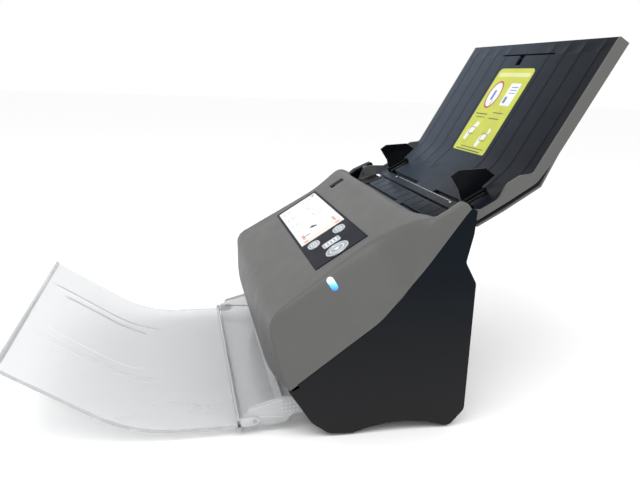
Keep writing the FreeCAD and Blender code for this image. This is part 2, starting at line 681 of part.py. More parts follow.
ARM_EDGE = [(106.0, 227.5, 6.0), (94.0, 220.0, 8.0), (87.0, 206.0, 8.0), (72.0, 197.5, 4.0), (53.0, 197.5, 6.0),
            (45.5, 190.0, 6.0), (53.0, 182.5, 6.0), (70.0, 188.5, 8.0), (98.0, 205.5, 20.0), (122.0, 221.0, 20.0)]


def tray_back_shell():
    """Grey outer shell: back wall, side walls with their hinge arms, and the top wall."""
    upper = math.atan2(TRAY_TOP[1] - TRAY_BEND[1], TRAY_TOP[0] - TRAY_BEND[0])

    def point(a, b):
        return along(TRAY_TOP, upper, a, b)
    back_top = point(0, -TRAY_THICK)
    low = point(-112, -TRAY_THICK)
    side = [TRAY_TOP + (1.0,), TRAY_BEND + (6.0,)] + ARM_EDGE + [low + (20.0,), back_top + (4.0,)]
    walls = both_sides(prism(side, TRAY_HALF - SHELL, TRAY_HALF))
    line = [slot_point(-11, -7.4), slot_point(16, -7.4), (126.5, 217.5), point(-110, -TRAY_THICK), back_top]
    back = prism(line + list(reversed(offset_line(line, -1.8))), -TRAY_HALF, TRAY_HALF)
    top = prism([point(0, -TRAY_THICK), point(0, -0.3), point(-2.2, -0.3), point(-2.2, -TRAY_THICK)],
                -TRAY_HALF, TRAY_HALF)
    slot = frame_box(point, -88, 88, -4, 2, -7.6, -3.2)
    trunnions = both_sides(rod(TRAY_PIVOT, 3.0, TRAY_HALF - SHELL, CHASSIS_X + CHASSIS_T))
    cheeks = both_sides(rod(TRAY_PIVOT, 7.0, TRAY_HALF - SHELL, TRAY_HALF))
    normal = vec(slot_point(0, 1)) - vec(slot_point(0, 0))
    axle = Part.makeCylinder(2.5, 3.6, vec(slot_point(0, -6.4)), normal)
    return cut(fuse(walls + [back, top, axle] + trunnions + cheeks), [slot])


def tray_inner():
    """Dark paper floor with long ribs and two slots for the paper guides."""
    top = along(TRAY_TOP, math.atan2(118, 66.5), -2.4, -0.3)
    line = [TRAY_FOOT, SLOT_POINT, (88.0, 202.0), TRAY_BEND, top]
    wide = TRAY_HALF - SHELL - 0.2
    floor = prism(line + list(reversed(offset_line(line, 2.0))), -wide, wide)
    slots = both_sides(frame_box(slot_point, GUIDE_X - GUIDE_TRAVEL_IN - 3, GUIDE_X + GUIDE_TRAVEL_OUT + 7, -2.6, 2.6, -4, 4))
    relief = frame_box(slot_point, -125, 125, -14, 13, -6, RACK_TOP + 0.25)
    body = cut(floor, [relief] + slots)
    ribs = [rib(x) for x in (-124, -96, -70, -44, 44, 70, 96, 124)]
    return fuse([body] + ribs)


def rib(x):
    line = [(96.0, 209.05), TRAY_BEND, along(TRAY_TOP, math.atan2(118, 66.5), -8, 0)]
    return prism(offset_line(line, 0.4) + list(reversed(offset_line(line, -0.7))), x - 1.2, x + 1.2)


def tray_extension():
    """Flat leaf between the tray's floor and its back, flush with the tray's upper end when it is in."""
    upper = math.atan2(TRAY_TOP[1] - TRAY_BEND[1], TRAY_TOP[0] - TRAY_BEND[0])

    def point(a, b):
        return along(TRAY_TOP, upper, a, b)
    return frame_box(point, -86, 86, -104, 0.0, -6.9, -4.0)


def tray_label():
    upper = math.atan2(TRAY_TOP[1] - TRAY_BEND[1], TRAY_TOP[0] - TRAY_BEND[0])

    def point(a, b):
        return along(TRAY_BEND, upper, a, b)
    return frame_box(point, -38, 38, 1, 105, 0.05, 0.45)


def rack(side):
    """A toothed bar under the tray floor; side is +1 for the right guide, -1 for the left."""
    pitch = MODULE * RACK_TEETH / 2
    reach = GUIDE_X + 4.0
    step = math.pi * MODULE
    count = int((reach + 10.0) / step)
    points = []
    offset = -step * 0.5
    for k in range(count, -3, -1):
        middle = k * step + offset
        if middle > reach - 6 or middle < -9:
            continue
        points += [(middle + step * 0.40, pitch + 1.15), (middle + step * 0.13, pitch - 0.9),
                   (middle - step * 0.13, pitch - 0.9), (middle - step * 0.40, pitch + 1.15)]
    points = [(reach, pitch + 1.15)] + points + [(-11.0, pitch + 1.15), (-11.0, pitch + 4.0), (reach, pitch + 4.0)]
    corners = [vec(slot_point(side * u, RACK_TOP - RACK_T), side * x) for x, u in points]
    up = vec(slot_point(0, 1)) - vec(slot_point(0, 0))
    return Part.Face(Part.makePolygon(corners + corners[:1])).extrude(up * RACK_T)


def guide_slider(side):
    """Rack, foot through the slot, and the two posts with the wing's hinge pin; drawn at its rest place."""
    low, high = sorted((side * (GUIDE_X - 1.0), side * (GUIDE_X + 5.0)))
    a, b = sorted((side * (GUIDE_X + 0.5), side * (GUIDE_X + 4.0)))
    u0, u1 = sorted((side * -2.2, side * 12.0))
    foot = frame_box(slot_point, a, b, -2.2, 2.2, RACK_TOP - RACK_T, 1.0)
    link = frame_box(slot_point, a, b, u0, u1, RACK_TOP - RACK_T, RACK_TOP)
    saddle = frame_box(slot_point, low, high, -5.0, 22.0, 2.3, 3.4)
    neck = frame_box(slot_point, a, b, -2.2, 2.2, 0.0, 2.5)
    posts = [frame_box(slot_point, side * GUIDE_X + side * 1.5 - 2.2, side * GUIDE_X + side * 1.5 + 2.2, u, u + 2.0,
                       3.4, WING_AXIS_N + 2.2) for u in (-5.0, 20.0)]
    pin = slot_rod(side, WING_PIN_R, -4.0, 21.0)
    return fuse([rack(side), foot, link, saddle, neck, pin] + posts)


def slot_rod(side, radius, u0, u1):
    axis = vec(slot_point(1, 0)) - vec(slot_point(0, 0))
    return Part.makeCylinder(radius, u1 - u0, vec(slot_point(u0, WING_AXIS_N), side * (GUIDE_X + 1.5)), axis)


WING = [(-2.5, 33.5), (6.0, 34.5), (29.5, 23.5), (34.8, 13.0), (19.5, 9.6), (19.5, 5.2), (-2.7, 5.2), (-2.7, 10.0),
        (-1.2, 18.0)]


def guide_wing(side):
    x0, x1 = sorted((side * GUIDE_X, side * (GUIDE_X + 3.0)))
    plate = prism([slot_point(u, n) for u, n in WING], x0, x1)
    barrel = slot_rod(side, 2.2, -2.7, 19.7)
    return cut(fuse([plate, barrel]), [slot_rod(side, WING_PIN_R + WING_FIT, -6, 23)])


def guide_pinion():
    """The wheel that ties both racks together, its axis square to the tray floor."""
    flank = tooth_flank(RACK_TEETH)
    up = vec(slot_point(0, 1)) - vec(slot_point(0, 0))
    forward = vec(slot_point(1, 0)) - vec(slot_point(0, 0))
    corners = []
    base = vec(slot_point(0, RACK_TOP - RACK_T))
    for k in range(RACK_TEETH):
        middle = 2 * math.pi * k / RACK_TEETH
        polar = [(r, middle - a) for r, a in flank] + [(r, middle + a) for r, a in reversed(flank)]
        corners += [base + Vector(1, 0, 0) * (r * math.sin(a)) + forward * (r * math.cos(a)) for r, a in polar]
    wheel = Part.Face(Part.makePolygon(corners + corners[:1])).extrude(up * RACK_T)
    return cut(wheel, [Part.makeCylinder(2.5 + RUN_FIT, 6, base - up, up)])


def build_tray():
    add("tray_back_shell", tray_back_shell())
    add("tray_inner", tray_inner())
    add("tray_label", tray_label())
    add("tray_extension", tray_extension())
    for side, word in ((1, "right"), (-1, "left")):
        add("guide_slider_" + word, guide_slider(side))
        add("guide_wing_" + word, guide_wing(side))
    add("guide_pinion", guide_pinion())


# ---- output tray ----
def output_inner_section():
    """Clear floor between the body and the flap, with a wall and a hinge arm at each side."""
    floor = prism([(-134.0, 4.0), (-134.0, 7.0), (-100.0, 11.0), (-94.0, 14.0), (-94.0, 11.0), (-100.0, 8.0)],
                  -OUT_ARM_X[1], OUT_ARM_X[1])
    wall = [(-134.0, 4.0), (-134.0, 18.0), (-130.5, 18.5), (-128.0, 24.0), (-100.0, 32.0), (-92.0, 32.0, 6.0),
            (-76.0, 28.0, 3.0), (-68.0, 22.0, 4.0), (-76.0, 16.0, 4.0), (-90.0, 16.0, 4.0), (-97.0, 9.0)]
    walls = both_sides(prism(wall, *OUT_ARM_X))
    trunnions = both_sides(rod(OUT_PIVOT, 3.0, OUT_ARM_X[0], CHASSIS_X + CHASSIS_T))
    pins = both_sides(rod(FLAP_PIVOT, 2.0, OUT_ARM_X[0], OUT_HALF - 0.2))
    return fuse([floor] + walls + trunnions + pins)


def flap_curve(offset):
    """The flap's rising end: three points of an arc that starts level, then the end of its straight run."""
    radius = FLAP_BEND_R - offset
    arc = [(FLAP_FLAT_END - radius * math.sin(angle), FLAP_Z + FLAP_BEND_R - radius * math.cos(angle))
           for angle in (0.0, FLAP_RISE / 2, FLAP_RISE)]
    tip = (arc[2][0] - FLAP_RUN * math.cos(FLAP_RISE), arc[2][1] + FLAP_RUN * math.sin(FLAP_RISE))
    return arc, tip


def output_flap():
    """One clear sheet, level next to its hinge bead and curling up towards its tip."""
    low, low_tip = flap_curve(0.0)
    high, high_tip = flap_curve(SHEET)
    start = -136.0
    wire = Part.Wire([Part.LineSegment(vec((start, FLAP_Z)), vec(low[0])).toShape(),
                      Part.Arc(*[vec(p) for p in low]).toShape(),
                      Part.LineSegment(vec(low[2]), vec(low_tip)).toShape(),
                      Part.LineSegment(vec(low_tip), vec(high_tip)).toShape(),
                      Part.LineSegment(vec(high_tip), vec(high[2])).toShape(),
                      Part.Arc(*[vec(p) for p in reversed(high)]).toShape(),
                      Part.LineSegment(vec(high[0]), vec((start, FLAP_Z + SHEET))).toShape(),
                      Part.LineSegment(vec((start, FLAP_Z + SHEET)), vec((start, FLAP_Z))).toShape()])
    sheet = prism(wire, -OUT_HALF, OUT_HALF)
    bead = box(-OUT_HALF, OUT_HALF, start - 3, start, 4.0, 15.0)
    lug = [(-139, 8), (-124, 8.5, 4), (-119.5, 13, 4), (-124, 17.5, 4), (-139, 15)]
    lugs = both_sides(prism(lug, 143.0, OUT_HALF))
    end = ((low_tip[0] + high_tip[0]) / 2, (low_tip[1] + high_tip[1]) / 2)
    band = rod(end, TIP_BAND_R, -OUT_HALF, OUT_HALF)
    bores = both_sides(rod(FLAP_PIVOT, 2.0 + RUN_FIT, 142, 150))
    return cut(fuse([sheet, bead, band] + lugs), bores)


def build_output():
    add("output_inner_section", output_inner_section())
    add("output_flap", output_flap())


# ---- write the pieces ----
def write():
    os.makedirs("parts", exist_ok=True)
    bounds = FreeCAD.BoundBox()
    for solids in pieces.values():
        for solid in solids:
            bounds.add(solid.optimalBoundingBox())
    centre = (bounds.YMin + bounds.YMax) / 2
    for name, solids in pieces.items():
        shape = solids[0] if len(solids) == 1 else Part.makeCompound(solids)
        shape = shape.copy()
        shape.translate(Vector(0, -centre, 0))
        shape.exportStep("parts/" + name + ".step")
        count = len(shape.Solids)
        if not shape.isValid() or count != len(solids):
            print("CHECK", name, "valid", shape.isValid(), "solids", count, "wanted", len(solids))
    print("pieces", len(pieces), "centre y", round(centre, 3), "size",
          [round(v, 1) for v in (bounds.XLength, bounds.YLength, bounds.ZLength)], "low z", round(bounds.ZMin, 3))


build_housing()
build_path()
build_cover()
build_tray()
build_output()
write()
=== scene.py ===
"""Looks of the sheet fed document scanner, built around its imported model."""
import math

import bmesh
import bpy
from mathutils import Matrix, Vector


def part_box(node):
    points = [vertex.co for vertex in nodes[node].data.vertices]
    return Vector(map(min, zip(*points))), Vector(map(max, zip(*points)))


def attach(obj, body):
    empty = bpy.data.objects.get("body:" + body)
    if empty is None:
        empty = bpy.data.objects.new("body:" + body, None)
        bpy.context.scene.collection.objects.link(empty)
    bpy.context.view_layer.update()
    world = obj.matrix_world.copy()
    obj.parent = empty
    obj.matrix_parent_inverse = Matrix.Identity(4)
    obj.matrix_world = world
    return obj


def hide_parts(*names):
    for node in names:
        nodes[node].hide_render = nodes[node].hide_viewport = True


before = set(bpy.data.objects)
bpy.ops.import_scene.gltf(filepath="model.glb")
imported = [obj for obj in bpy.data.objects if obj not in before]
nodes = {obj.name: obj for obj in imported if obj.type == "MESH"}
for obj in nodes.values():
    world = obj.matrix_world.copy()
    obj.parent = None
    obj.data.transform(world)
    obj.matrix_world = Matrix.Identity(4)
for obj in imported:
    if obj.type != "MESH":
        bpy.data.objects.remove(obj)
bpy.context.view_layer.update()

MM = 0.001
HALF_WIDTH = 158.0
FEET_CENTRE_Y = -2.0          # middle of the feet in the drawing's own millimetres
feet_low, feet_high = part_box("rubber_feet")
SHIFT = (feet_low.y + feet_high.y) / 2 / MM - FEET_CENTRE_Y


# ---- places, in the drawing's millimetres ----
def place(x, y, z):
    return Vector((x, y + SHIFT, z)) * MM


def slanted(origin, angle):
    """A frame across X: a point a along a line at angle from origin and b to its left."""
    c, s = math.cos(angle), math.sin(angle)

    def point(x, a, b):
        return place(x, origin[0] + a * c - b * s, origin[1] + a * s + b * c)
    return point


PANEL_ANGLE = math.atan2(84.5, 128.0)
UPPER_ANGLE = math.atan2(118.0, 66.5)
panel = slanted((-115.0, 107.0), PANEL_ANGLE)
slot_frame = slanted((75.0, 194.0), math.radians(30.0))
upper_tray = slanted((118.0, 229.0), UPPER_ANGLE)
path_back = slanted((22.0, 168.0), math.radians(228.8))


def path(x, u, v):
    return path_back(x, u, -v)


def level(x, y, z):
    return place(x, y, z)


def to_panel(y, z):
    """Distance up the panel and outwards from it, of a point in the Y-Z plane."""
    c, s = math.cos(PANEL_ANGLE), math.sin(PANEL_ANGLE)
    dy, dz = y + 115.0, z - 107.0
    return dy * c + dz * s, -dy * s + dz * c


def between(table, value):
    """Linear reading of a table of (value, result)."""
    if value <= table[0][0]:
        return table[0][1]
    for (a, ra), (b, rb) in zip(table, table[1:]):
        if value <= b:
            return ra + (rb - ra) * (value - a) / (b - a)
    return table[-1][1]


def eased(table, value, reach):
    """The table's reading averaged over a reach to each side, which rounds its corners."""
    count = 4
    offsets = [reach * k / count for k in range(-count, count + 1)]
    return sum(between(table, value + o) for o in offsets) / len(offsets)


def smoothstep(value):
    value = min(max(value, 0.0), 1.0)
    return value * value * (3 - 2 * value)


def soft_min(a, b, k):
    h = max(k - abs(a - b), 0.0) / k
    return min(a, b) - h * h * k / 4


def bezier(p, q, r, s, t):
    u = 1 - t
    return tuple(u ** 3 * a + 3 * u * u * t * b + 3 * u * t * t * c + t ** 3 * d
                 for a, b, c, d in zip(p, q, r, s))


def steps(low, high, count):
    return [low + (high - low) * k / count for k in range(count + 1)]


# ---- materials ----
def new_material(name):
    material = bpy.data.materials.new(name)
    material.use_nodes = True
    tree = material.node_tree
    return material, tree, tree.nodes["Principled BSDF"]


def noise(tree, scale, detail=3.0, stretch=None):
    texture = tree.nodes.new("ShaderNodeTexNoise")
    texture.inputs["Scale"].default_value = scale
    texture.inputs["Detail"].default_value = detail
    coords = tree.nodes.new("ShaderNodeTexCoord")
    if stretch:
        mapping = tree.nodes.new("ShaderNodeMapping")
        mapping.inputs["Scale"].default_value = stretch
        tree.links.new(coords.outputs["Object"], mapping.inputs["Vector"])
        tree.links.new(mapping.outputs["Vector"], texture.inputs["Vector"])
    else:
        tree.links.new(coords.outputs["Object"], texture.inputs["Vector"])
    return texture.outputs["Fac"]


def ramp(tree, factor, stops):
    node = tree.nodes.new("ShaderNodeValToRGB")
    elements = node.color_ramp.elements
    while len(elements) < len(stops):
        elements.new(0.5)
    for element, (position, colour) in zip(elements, stops):
        element.position = position
        element.color = (*colour, 1)
    tree.links.new(factor, node.inputs["Fac"])
    return node.outputs["Color"]


def spread(tree, factor, low, high):
    node = tree.nodes.new("ShaderNodeMapRange")
    node.inputs["From Min"].default_value = 0.3
    node.inputs["From Max"].default_value = 0.7
    node.inputs["To Min"].default_value = low
    node.inputs["To Max"].default_value = high
    tree.links.new(factor, node.inputs["Value"])
    return node.outputs["Result"]


def add_bump(tree, shader, factor, height, strength=0.5):
    node = tree.nodes.new("ShaderNodeBump")
    node.inputs["Strength"].default_value = strength
    node.inputs["Distance"].default_value = height
    tree.links.new(factor, node.inputs["Height"])
    tree.links.new(node.outputs["Normal"], shader.inputs["Normal"])


def tint(colour, factor):
    return tuple(min(c * factor, 1.0) for c in colour)


def finish(name, colour, rough, grain=2600.0, height=0.00005, varied=0.06, metallic=0.0, specular=0.5,
           stretch=None):
    """A moulded, cast or drawn surface: mottled colour, uneven gloss and a fine grain."""
    material, tree, shader = new_material(name)
    broad = noise(tree, 45.0, 4.0, stretch)
    fine = noise(tree, grain, 2.0, stretch)
    stops = [(0.3, tint(colour, 1 - varied)), (0.7, tint(colour, 1 + varied))]
    tree.links.new(ramp(tree, broad, stops), shader.inputs["Base Color"])
    tree.links.new(spread(tree, broad, rough - 0.05, rough + 0.05), shader.inputs["Roughness"])
    add_bump(tree, shader, fine, height)
    shader.inputs["Metallic"].default_value = metallic
    shader.inputs["Specular IOR Level"].default_value = specular
    return material


def painted_shade_graded(name, stops, rough, grain, height, axis="Z", limits=(0.0, 0.2), specular=0.05):
    """Moulded plastic with painted shade: its colour darkens along one axis of the object."""
    material, tree, shader = new_material(name)
    coords = tree.nodes.new("ShaderNodeTexCoord")
    split = tree.nodes.new("ShaderNodeSeparateXYZ")
    tree.links.new(coords.outputs["Object"], split.inputs["Vector"])
    reading = tree.nodes.new("ShaderNodeMapRange")
    reading.inputs["From Min"].default_value, reading.inputs["From Max"].default_value = limits
    tree.links.new(split.outputs[axis], reading.inputs["Value"])
    tree.links.new(ramp(tree, reading.outputs["Result"], stops), shader.inputs["Base Color"])
    tree.links.new(spread(tree, noise(tree, 60.0), rough - 0.05, rough + 0.05), shader.inputs["Roughness"])
    add_bump(tree, shader, noise(tree, grain, 2.0), height)
    shader.inputs["Specular IOR Level"].default_value = specular
    return material


def clear_finish(name, colour, rough, through):
    """Clear moulded plastic: slightly frosted, with faint flow marks."""
    material, tree, shader = new_material(name)
    shader.inputs["Transmission Weight"].default_value = through
    shader.inputs["IOR"].default_value = 1.3
    flow = noise(tree, 30.0, 3.0, (1.0, 0.35, 1.0))
    tree.links.new(ramp(tree, flow, [(0.3, tint(colour, 0.985)), (0.7, colour)]), shader.inputs["Base Color"])
    tree.links.new(spread(tree, flow, rough * 0.7, rough * 1.3), shader.inputs["Roughness"])
    add_bump(tree, shader, noise(tree, 240.0, 2.0), 0.00006, 0.2)
    return material


def lit_finish():
    """The lit power key: pale cyan at its upper end, blue at its lower end."""
    material, tree, shader = new_material("lit_blue")
    low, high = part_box("power_key")
    coords = tree.nodes.new("ShaderNodeTexCoord")
    split = tree.nodes.new("ShaderNodeSeparateXYZ")
    reading = tree.nodes.new("ShaderNodeMapRange")
    reading.inputs["From Min"].default_value = low.z + 0.0015
    reading.inputs["From Max"].default_value = high.z - 0.001
    tree.links.new(coords.outputs["Object"], split.inputs["Vector"])
    tree.links.new(split.outputs["Z"], reading.inputs["Value"])
    glow = ramp(tree, reading.outputs["Result"],
                [(0.0, (0.02, 0.12, 0.75)), (0.45, (0.10, 0.42, 1.0)), (0.7, (0.45, 0.85, 1.0)),
                 (1.0, (0.8, 1.0, 1.0))])
    tree.links.new(glow, shader.inputs["Base Color"])
    tree.links.new(glow, shader.inputs["Emission Color"])
    shader.inputs["Emission Strength"].default_value = 0.9
    shader.inputs["Roughness"].default_value = 0.25
    return material


# ---- camera, light and floor ----
def add_camera():
    yaw, pitch, roll = (math.radians(a) for a in (12.771, 14.132, 2.122))
    ahead = Vector((-math.cos(yaw) * math.cos(pitch), math.sin(yaw) * math.cos(pitch), -math.sin(pitch)))
    side = ahead.cross(Vector((0, 0, 1))).normalized()
    up = side.cross(ahead)
    right = math.cos(roll) * side + math.sin(roll) * up
    top = math.cos(roll) * up - math.sin(roll) * side
    data = bpy.data.cameras.new("camera")
    data.lens = 36.5625
    data.sensor_width = 36.0
    data.clip_start = 0.01
    camera = bpy.data.objects.new("camera", data)
    turn = Matrix((right, top, -ahead)).transposed().to_4x4()
    camera.matrix_world = Matrix.Translation((0.65173, (SHIFT - 186.773) * MM, 0.30487)) @ turn
    bpy.context.scene.collection.objects.link(camera)
    bpy.context.scene.camera = camera


def add_light(name, spot, aim, size, power, colour=(1, 1, 1)):
    data = bpy.data.lights.new(name, "AREA")
    data.shape = "RECTANGLE"
    data.size, data.size_y = size
    data.energy = power
    data.color = colour
    lamp = bpy.data.objects.new(name, data)
    lamp.location = spot
    lamp.rotation_euler = (Vector(aim) - Vector(spot)).to_track_quat("-Z", "Y").to_euler()
    bpy.context.scene.collection.objects.link(lamp)


def add_stage():
    mesh = bpy.data.meshes.new("floor")
    corners = [(-8, -8), (8, -8), (8, 8), (-8, 8)]
    mesh.from_pydata([(x, y, -0.0005) for x, y in corners], [], [(0, 1, 2, 3)])
    floor = bpy.data.objects.new("floor", mesh)
    bpy.context.scene.collection.objects.link(floor)
    material, tree, shader = new_material("floor_pale")
    shader.inputs["Base Color"].default_value = (0.97, 0.97, 0.97, 1)
    shader.inputs["Roughness"].default_value = 0.9
    shader.inputs["Specular IOR Level"].default_value = 0.1
    mesh.materials.append(material)
    world = bpy.data.worlds.new("studio")
    world.use_nodes = True
    world.node_tree.nodes["Background"].inputs["Color"].default_value = (1, 1, 1, 1)
    world.node_tree.nodes["Background"].inputs["Strength"].default_value = 1.0
    bpy.context.scene.world = world
    bpy.context.scene.view_settings.view_transform = "Standard"
    add_light("key", (0.7, -0.5, 1.4), (0, 0, 0.1), (0.9, 0.9), 9)
    add_light("fill", (0.6, 0.9, 0.9), (0, 0, 0.15), (0.8, 0.8), 3)


# ---- making pieces ----
class Shape:
    """Vertices and faces gathered from several parts of one piece."""

    def __init__(self):
        self.verts = []
        self.faces = []

    def add(self, verts, faces):
        start = len(self.verts)
        self.verts += verts
        self.faces += [tuple(start + i for i in face) for face in faces]
        return self

    def grid(self, rows, skip=None):
        """Quads between rows of points; skip(i, j) leaves a quad out."""
        wide = len(rows[0])
        faces = []
        for i in range(len(rows) - 1):
            for j in range(wide - 1):
                if skip is None or not skip(i, j):
                    a = i * wide + j
                    faces.append((a, a + 1, a + 1 + wide, a + wide))
        return self.add([p for row in rows for p in row], faces)

    def extrude(self, points, offset):
        """A closed prism over a flat outline."""
        count = len(points)
        far = [p + offset for p in points]
        faces = [tuple(range(count)), tuple(range(2 * count - 1, count - 1, -1))]
        faces += [(i, count + i, count + (i + 1) % count, (i + 1) % count) for i in range(count)]
        return self.add(list(points) + far, faces)

    def block(self, point, x0, x1, a0, a1, b0, b1):
        base = [point(x0, a0, b0), point(x1, a0, b0), point(x1, a1, b0), point(x0, a1, b0)]
        return self.extrude(base, point(x0, a0, b1) - point(x0, a0, b0))

    def across(self, point, outline, x0, x1):
        """An outline in the frame's (a, b) plane, carried from x0 to x1."""
        return self.extrude([point(x0, a, b) for a, b in outline], Vector(((x1 - x0) * MM, 0, 0)))

    def plate(self, point, outline, b0, b1):
        """An outline in the frame's (x, a) plane, standing from b0 to b1."""
        return self.extrude([point(x, a, b0) for x, a in outline], point(0, 0, b1) - point(0, 0, b0))


def rounded(x0, x1, a0, a1, radius, count=4):
    """Corners of a rounded rectangle."""
    points = []
    for cx, ca, start in ((x1 - radius, a1 - radius, 0), (x0 + radius, a1 - radius, 90),
                          (x0 + radius, a0 + radius, 180), (x1 - radius, a0 + radius, 270)):
        for k in range(count + 1):
            angle = math.radians(start + 90 * k / count)
            points.append((cx + radius * math.cos(angle), ca + radius * math.sin(angle)))
    return points


def ellipse(x, a, rx, ra, count=28):
    turn = [2 * math.pi * k / count for k in range(count)]
    return [(x + rx * math.cos(t), a + ra * math.sin(t)) for t in turn]


def piece(name, shape, material, body, replaces=(), wall=0.0, bevel=0.0, sharp=40.0):
    """One object from a Shape: optional wall thickness inwards, optional rounded edges."""
    mesh = bpy.data.meshes.new(name)
    mesh.from_pydata(shape.verts, [], shape.faces)
    made = bpy.data.objects.new(name, mesh)
    bpy.context.scene.collection.objects.link(made)
    tidy = bmesh.new()
    tidy.from_mesh(mesh)
    bmesh.ops.remove_doubles(tidy, verts=tidy.verts, dist=1e-6)
    bmesh.ops.recalc_face_normals(tidy, faces=tidy.faces)
    if bevel:
        edges = [e for e in tidy.edges
                 if len(e.link_faces) == 2 and e.calc_face_angle() > math.radians(sharp)]
        bmesh.ops.bevel(tidy, geom=edges, offset=bevel * MM, segments=2, profile=0.5, affect="EDGES",
                        clamp_overlap=True)
    if wall and faces_inwards(tidy):
        bmesh.ops.reverse_faces(tidy, faces=tidy.faces)
    tidy.to_mesh(mesh)
    tidy.free()
    if wall:
        thick = made.modifiers.new("wall", "SOLIDIFY")
        thick.thickness = abs(wall) * MM
        thick.offset = -1.0 if wall > 0 else 1.0
        thick.use_even_offset = True
        apply_modifiers(made)
        for vertex in made.data.vertices:
            vertex.co.x = min(max(vertex.co.x, -HALF_WIDTH * MM), HALF_WIDTH * MM)
    mesh = made.data
    mesh.materials.append(material)
    mesh.shade_smooth()
    mesh.set_sharp_from_angle(angle=math.radians(sharp))
    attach(made, body)
    if replaces:
        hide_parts(*replaces)
    return made


def faces_inwards(tidy):
    """Whether an open skin's faces look down or inwards more than up or outwards."""
    return sum((f.normal.z + 0.2 * abs(f.normal.x)) * f.calc_area() for f in tidy.faces) < 0


def apply_modifiers(made):
    depsgraph = bpy.context.evaluated_depsgraph_get()
    changed = bpy.data.meshes.new_from_object(made.evaluated_get(depsgraph))
    made.modifiers.clear()
    made.data = changed


def dress(material, *names):
    for name in names:
        nodes[name].data.materials.clear()
        nodes[name].data.materials.append(material)


# ---- front cover ----
SHOULDER_CREASE = [(-30.0, 151.0), (0.0, 148.0), (75.0, 135.0), (112.0, 130.0), (138.0, 142.0),
                   (160.0, 157.0)]
SHOULDER_DEPTH = [(-30.0, 62.0), (0.0, 60.0), (75.0, 56.0), (112.0, 46.0), (138.0, 22.0), (160.0, 3.0)]
SPLIT_RIGHT = [(-19.1, -61.1), (79.9, -54.5), (136.1, -36.5), (193.0, -14.1)]
SPLIT_LEFT = [(-19.1, -61.1), (79.9, -54.5), (136.1, -36.5), (164.6, -15.4)]
NOSE_RADIUS = 17.0
LIP_ROWS = 3                 # rows of the front's inturned lower edge
LIP_MOVE = -9.6
SWEEP_START = 98.0           # beyond this half width the front is swept back
FRONT = [(46.0, -107.6), (48.5, -109.2), (57.0, -112.0), (67.0, -114.3), (75.0, -115.3), (85.0, -115.5),
         (93.6, -115.0), (100.0, -114.1), (105.0, -112.2), (110.0, -108.8), (114.4, -103.7)]
CREST_START = 143.0
EAR_INNER = 147.0
EAR_TOP = [(169.0, -5.1), (172.5, -5.3), (176.5, -5.4), (180.0, -5.3), (184.0, -5.2), (187.5, -5.1),
           (190.0, -5.4), (192.0, -6.8), (193.3, -9.0), (193.5, -11.5), (193.2, -13.9)]


def split_height(t, x):
    return eased(SPLIT_RIGHT if x > 0 else SPLIT_LEFT, t, 7.0)


def shoulder(t, w, x):
    """The height w of the cover at t, brought down to its shoulder towards the side."""
    crease = eased(SHOULDER_CREASE, t, 10.0)
    depth = eased(SHOULDER_DEPTH, t, 8.0)
    slope = -depth * (abs(x) - crease) / (HALF_WIDTH - crease)
    lowered = soft_min(w, slope, 9.0) if abs(x) > 90 else w
    edge = split_height(t, x)
    return max(lowered, edge) if abs(x) > 150 and w > edge else lowered


def cover_columns(low, high):
    """Column places across the cover, close together over the shoulders."""
    bands = [(-158, -150, 10), (-150, -114, 24), (-114, -99, 4), (-99, -85, 3), (-85, 85, 24), (85, 114, 8),
             (114, 147, 24), (147, 158, 16)]
    places = {round(v, 4) for a, b, n in bands for v in steps(a, b, n)}
    return sorted(v for v in places if low <= v <= high)


def crest_end(x):
    """Where the cover's surface ends at the hopper, as (t, w)."""
    if x > 0:
        blend = smoothstep((x - 88) / (EAR_INNER - 88)) ** 1.4
        return 163.4 + 3.5 * blend, -15.6 + 6.2 * blend
    blend = smoothstep((-x - 140) / 10)
    return 163.4 + 1.6 * blend, -15.6 + 2.2 * blend


def front_rows():
    """(t, w) up the front face and round the nose to the panel."""
    rows = [to_panel(y, z) for y, z in ((-88.5, 49.6), (-94.5, 47.3), (-96.8, 46.8), (-98.0, 48.2))]
    half = math.acos(-19.1 / math.hypot(19.1, 61.7)) / 2
    reach = NOSE_RADIUS / math.tan(half)
    down = Vector((-19.1, -61.7)).normalized()
    start = down * reach
    low = Vector(rows[-1])
    rows += [tuple(low + (start - low) * k / 14) for k in range(1, 14)]
    centre = Vector((reach, -NOSE_RADIUS))
    first = math.atan2(start.y - centre.y, start.x - centre.x)
    for k in range(13):
        angle = first + (math.pi / 2 - first) * k / 12
        rows.append((centre.x + NOSE_RADIUS * math.cos(angle), centre.y + NOSE_RADIUS * math.sin(angle)))
    return rows


def front_out(t, w):
    """How far the bulging front stands out from the plain one at (t, w)."""
    plain = panel(0, t, w)
    return eased(FRONT, plain.z / MM, 3.0) - (plain.y / MM - SHIFT)


def front_share(x):
    """How much of the bulge is left at x: all of it in the middle, none at the sides."""
    swept = (abs(x) - SWEEP_START) / (HALF_WIDTH - SWEEP_START)
    return 1 - min(max(swept, 0.0), 1.0) ** 2


def crest_curve(x, q):
    """A point of the roll over into the hopper, before the shoulder is taken off."""
    t, w = crest_end(x)
    return bezier((CREST_START, 0.0), (CREST_START + 13, 0.0), (t - 3.4, w + 7.0), (t, w), q)


def ear_drop(x):
    """How far the ear's top is rounded down at x."""
    inner = max((152.5 - x) / 5.5, 0.0)
    outer = max((x - 155.0) / 3.0, 0.0)
    return 4.4 * (1 - math.sqrt(1 - min(inner, 1.0) ** 2)) + 1.8 * (1 - math.sqrt(1 - min(outer, 1.0) ** 2))


